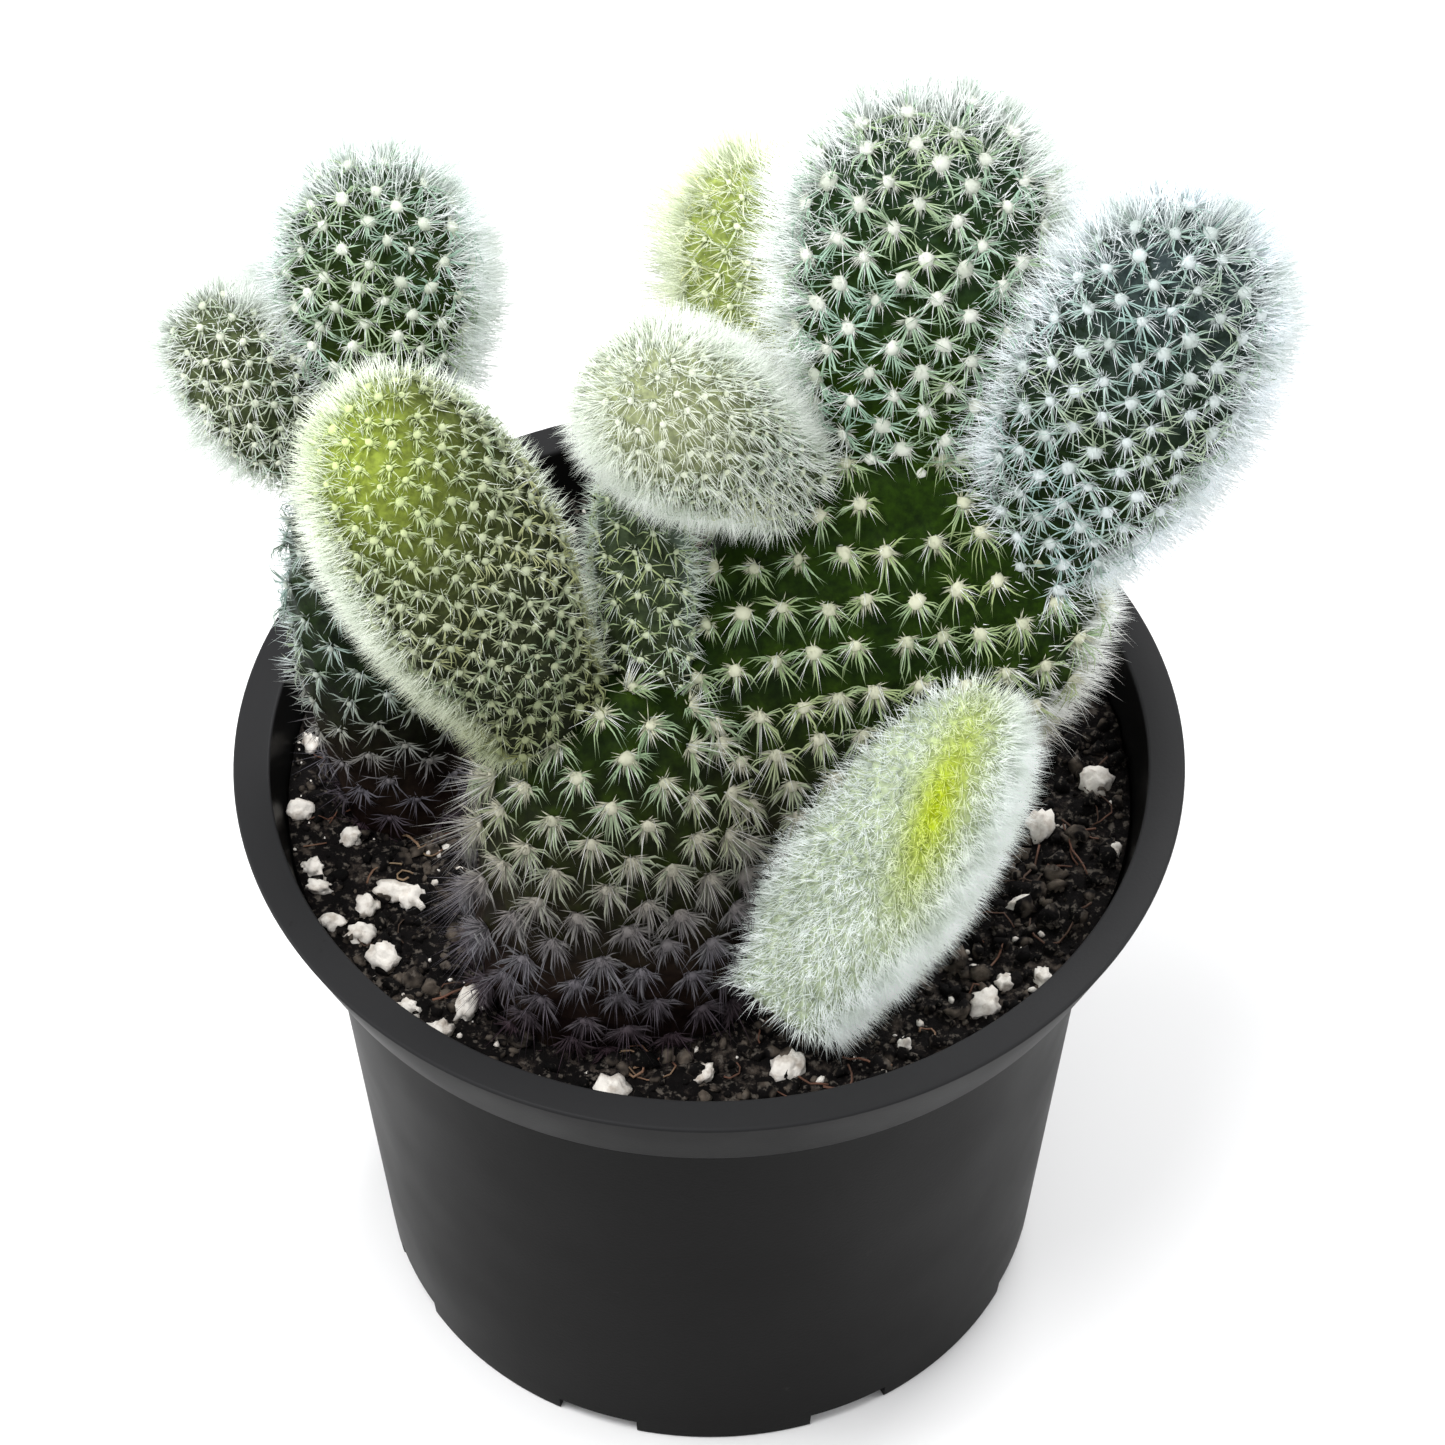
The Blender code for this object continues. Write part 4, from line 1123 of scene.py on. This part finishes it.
def make_soil():
    """Damp potting mix: an uneven body with crumbs, fibres and white grains."""
    edge = inner_radius(SOIL_LEVEL) - SOIL_GAP
    dress(soil_body(edge), soil_material(), "soil")
    draw = np.random.default_rng(SOIL_SEED)
    places = scatter(draw, CRUMB_COUNT, CRUMB_SIZES, edge)
    crumbs = grains("soil_crumbs", draw, places, 1, 0.45)
    dress(crumbs, crumb_material(), "soil", replaces=False)
    places = [(x * MM, y * MM, PERLITE_SCALE * size * MM) for x, y, size in PERLITE]
    perlite = grains("perlite_grains", draw, places, 3, 0.30)
    shade_smooth(perlite.data)
    dress(perlite, perlite_material(), "soil", replaces=False)
    places = scatter(draw, SPECK_COUNT, SPECK_SIZES, edge)
    specks = grains("pale_specks", draw, places, 1, 0.3)
    dress(specks, perlite_material(), "soil", replaces=False)
    dress(soil_fibres(draw, edge), fibre_material(), "soil", replaces=False)


def scatter(draw, count, sizes, reach):
    """Random places and sizes on the soil, clear of the pads."""
    forms = [form for forms in PADS.values() for form in forms]
    places = []
    while len(places) < count:
        distance = reach * math.sqrt(draw.uniform(0.0, 1.0))
        angle = draw.uniform(0.0, 2.0 * math.pi)
        x = distance * math.cos(angle)
        y = distance * math.sin(angle)
        size = MM * (sizes[0] + (sizes[1] - sizes[0]) * draw.uniform(0.0, 1.0) ** SIZE_SKEW)
        if distance + size > reach:
            continue
        centre = np.array([[x, y, soil_height(x, y)]])
        if any(pad_depth(form, centre)[0] < 1.05 for form in forms):
            continue
        places.append((x, y, size))
    return places


def grains(name, draw, places, divisions, roughness):
    """Rough grains half sunk in the soil, in one piece."""
    ball, triangles = unit_ball(divisions)
    bodies = []
    for x, y, size in places:
        centre = np.array((x, y, soil_height(x, y) + GRAIN_LIFT * size))
        stretch = draw.uniform(*GRAIN_STRETCH, 3)
        turn = Matrix.Rotation(draw.uniform(0.0, GRAIN_TURN), 3, Vector(draw.normal(0.0, 1.0, 3)))
        shift = Vector(draw.uniform(-9.0, 9.0, 3))
        lumps = np.array([noise.noise(Vector(corner) * 1.7 + shift) for corner in ball])
        rough = 1.0 + roughness * (1.6 * lumps + 0.5 * draw.uniform(-1.0, 1.0, len(ball)))
        corners = (ball * rough[:, None] * stretch * size) @ np.array(turn).T + centre
        bodies.append((corners, triangles))
    return joined_bodies(name, bodies)


def tube(points, radius):
    """Corners and triangles of a thin closed tube with three sides."""
    ends = np.vstack([points[:1], points, points[-1:]])
    ahead = unit_rows(ends[2:] - ends[:-2])
    side = unit_rows(np.cross(ahead, (0.0, 0.0, 1.0)))
    rings = [points + radius * ring for ring in triangle_ring(side, np.cross(side, ahead))]
    faces = []
    end = 3 * (len(points) - 1)
    for low in range(0, end, 3):
        for turn, after in ((0, 1), (1, 2), (2, 0)):
            faces.append((low + turn, low + after, low + 3 + after))
            faces.append((low + turn, low + 3 + after, low + 3 + turn))
    faces += [(0, 2, 1), (end, end + 1, end + 2)]
    return np.stack(rings, axis=1).reshape(-1, 3), np.array(faces)


def soil_fibres(draw, reach):
    """Short curved root and bark fibres lying on the soil."""
    tubes = []
    for _ in range(FIBRE_COUNT):
        distance = reach * math.sqrt(draw.uniform(0.05, 0.92))
        angle = draw.uniform(0.0, 2.0 * math.pi)
        place = np.array((distance * math.cos(angle), distance * math.sin(angle)))
        heading = draw.uniform(0.0, 2.0 * math.pi)
        bend = draw.normal(0.0, 0.35)
        stride = draw.uniform(0.5, 1.5) * MM
        radius = draw.uniform(0.07, 0.16) * MM
        points = []
        for _ in range(FIBRE_STEPS):
            if np.hypot(*place) > reach - 1.0 * MM:
                break
            points.append((*place, soil_height(*place) + draw.uniform(0.1, 0.7) * MM))
            heading += bend + draw.normal(0.0, 0.2)
            place = place + stride * np.array((math.cos(heading), math.sin(heading)))
        if len(points) > 2:
            tubes.append(tube(np.array(points), radius))
    return joined_bodies("soil_fibres", tubes)


def add_flecks(paint, colour):
    """Strew small paler flecks over a colour."""
    return paint.mix(paint.stretch(paint.noise(1150.0, 3.0, 0.6), 0.56, 0.66), colour, FLECK_TONE)


def soil_material():
    """Near-black peat with brown clods and flecks."""
    paint = Paint("soil_ground", 0.9, 0.12)
    colour = paint.ramp(paint.noise(420.0, 6.0, 0.7), SOIL_TONES)
    paint.surface(Base_Color=add_flecks(paint, colour))
    paint.bump(paint.noise(1900.0), 0.8, 0.4 * MM)
    return paint.material


def crumb_material():
    """Crumbs of peat and bark, from black to brown."""
    paint = Paint("soil_crumb", 0.85, 0.12)
    colour = paint.ramp(paint.noise(300.0, 2.0), CRUMB_TONES)
    paint.surface(Base_Color=add_flecks(paint, colour))
    paint.bump(paint.noise(2200.0), 0.7, 0.3 * MM)
    return paint.material


def perlite_material():
    """Chalky white grains with creamy hollows."""
    paint = Paint("perlite", 0.8)
    paint.surface(Base_Color=paint.ramp(paint.noise(700.0), PERLITE_TONES))
    paint.bump(paint.noise(3000.0), 0.6, 0.2 * MM)
    return paint.material


def fibre_material():
    """Red-brown to straw-coloured fibres."""
    paint = Paint("soil_fibre", 0.75)
    paint.surface(Base_Color=paint.ramp(paint.noise(90.0, 2.0), FIBRE_TONES))
    return paint.material


# Stage

FLOOR_REACH = 6.0
SKY_COLOUR = (0.98, 0.985, 1.0, 1.0)
SKY_STRENGTH = 0.60
LIGHT_AIM = Vector((0.0, -0.01, 0.11))
LIGHTS = (
    ("key", (-0.20, -0.20, 0.80), 0.40, 4.8),
    ("back", (0.30, 0.55, 0.55), 0.50, 4.2),
    ("left", (-0.75, 0.05, 0.30), 0.45, 3.2),
    ("right", (0.75, 0.05, 0.30), 0.45, 2.2))
SENSOR_WIDTH = 36.0


def aim(name, data, place, direction):
    """A light or camera at a place, looking along a direction."""
    made = bpy.data.objects.new(name, data)
    made.location = place
    made.rotation_mode = "QUATERNION"
    made.rotation_quaternion = direction.to_track_quat("-Z", "Y")
    bpy.context.scene.collection.objects.link(made)
    return made


def make_floor():
    """A plain pale floor."""
    reach = FLOOR_REACH
    corners = [(-reach, -reach, 0.0), (reach, -reach, 0.0), (reach, reach, 0.0), (-reach, reach, 0.0)]
    floor = link("floor", mesh_from_arrays("floor", corners, np.array([[0, 1, 2, 3]])))
    paint = Paint("floor", 0.9)
    paint.surface(Base_Color=paint.ramp(paint.noise(3.0, 2.0), FLOOR_TONES))
    floor.data.materials.append(paint.material)


def make_light():
    """An even pale sky and round soft lamps."""
    world = bpy.data.worlds.new("studio")
    world.use_nodes = True
    sky = world.node_tree.nodes["Background"]
    sky.inputs["Color"].default_value = SKY_COLOUR
    sky.inputs["Strength"].default_value = SKY_STRENGTH
    bpy.context.scene.world = world
    for name, place, width, power in LIGHTS:
        lamp = bpy.data.lights.new(name, "AREA")
        lamp.shape = "DISK"
        lamp.size = width
        lamp.energy = power
        aim(name, lamp, place, LIGHT_AIM - Vector(place))


def make_camera():
    """The photograph's camera."""
    forward = Vector((0.0, math.cos(VIEW_ELEVATION), -math.sin(VIEW_ELEVATION)))
    camera = bpy.data.cameras.new("camera")
    camera.sensor_width = SENSOR_WIDTH
    camera.lens = VIEW_FOCAL_PIXELS / PHOTO_PIXELS * SENSOR_WIDTH
    camera.clip_start = 0.01
    camera.clip_end = 20.0
    viewer = aim("camera", camera, VIEW_AIM - forward * VIEW_DISTANCE, forward)
    bpy.context.scene.camera = viewer
    bpy.context.scene.view_settings.view_transform = "Standard"


make_floor()
make_light()
make_camera()
make_pot()
make_soil()
for pad_name in PADS:
    make_pad(pad_name)
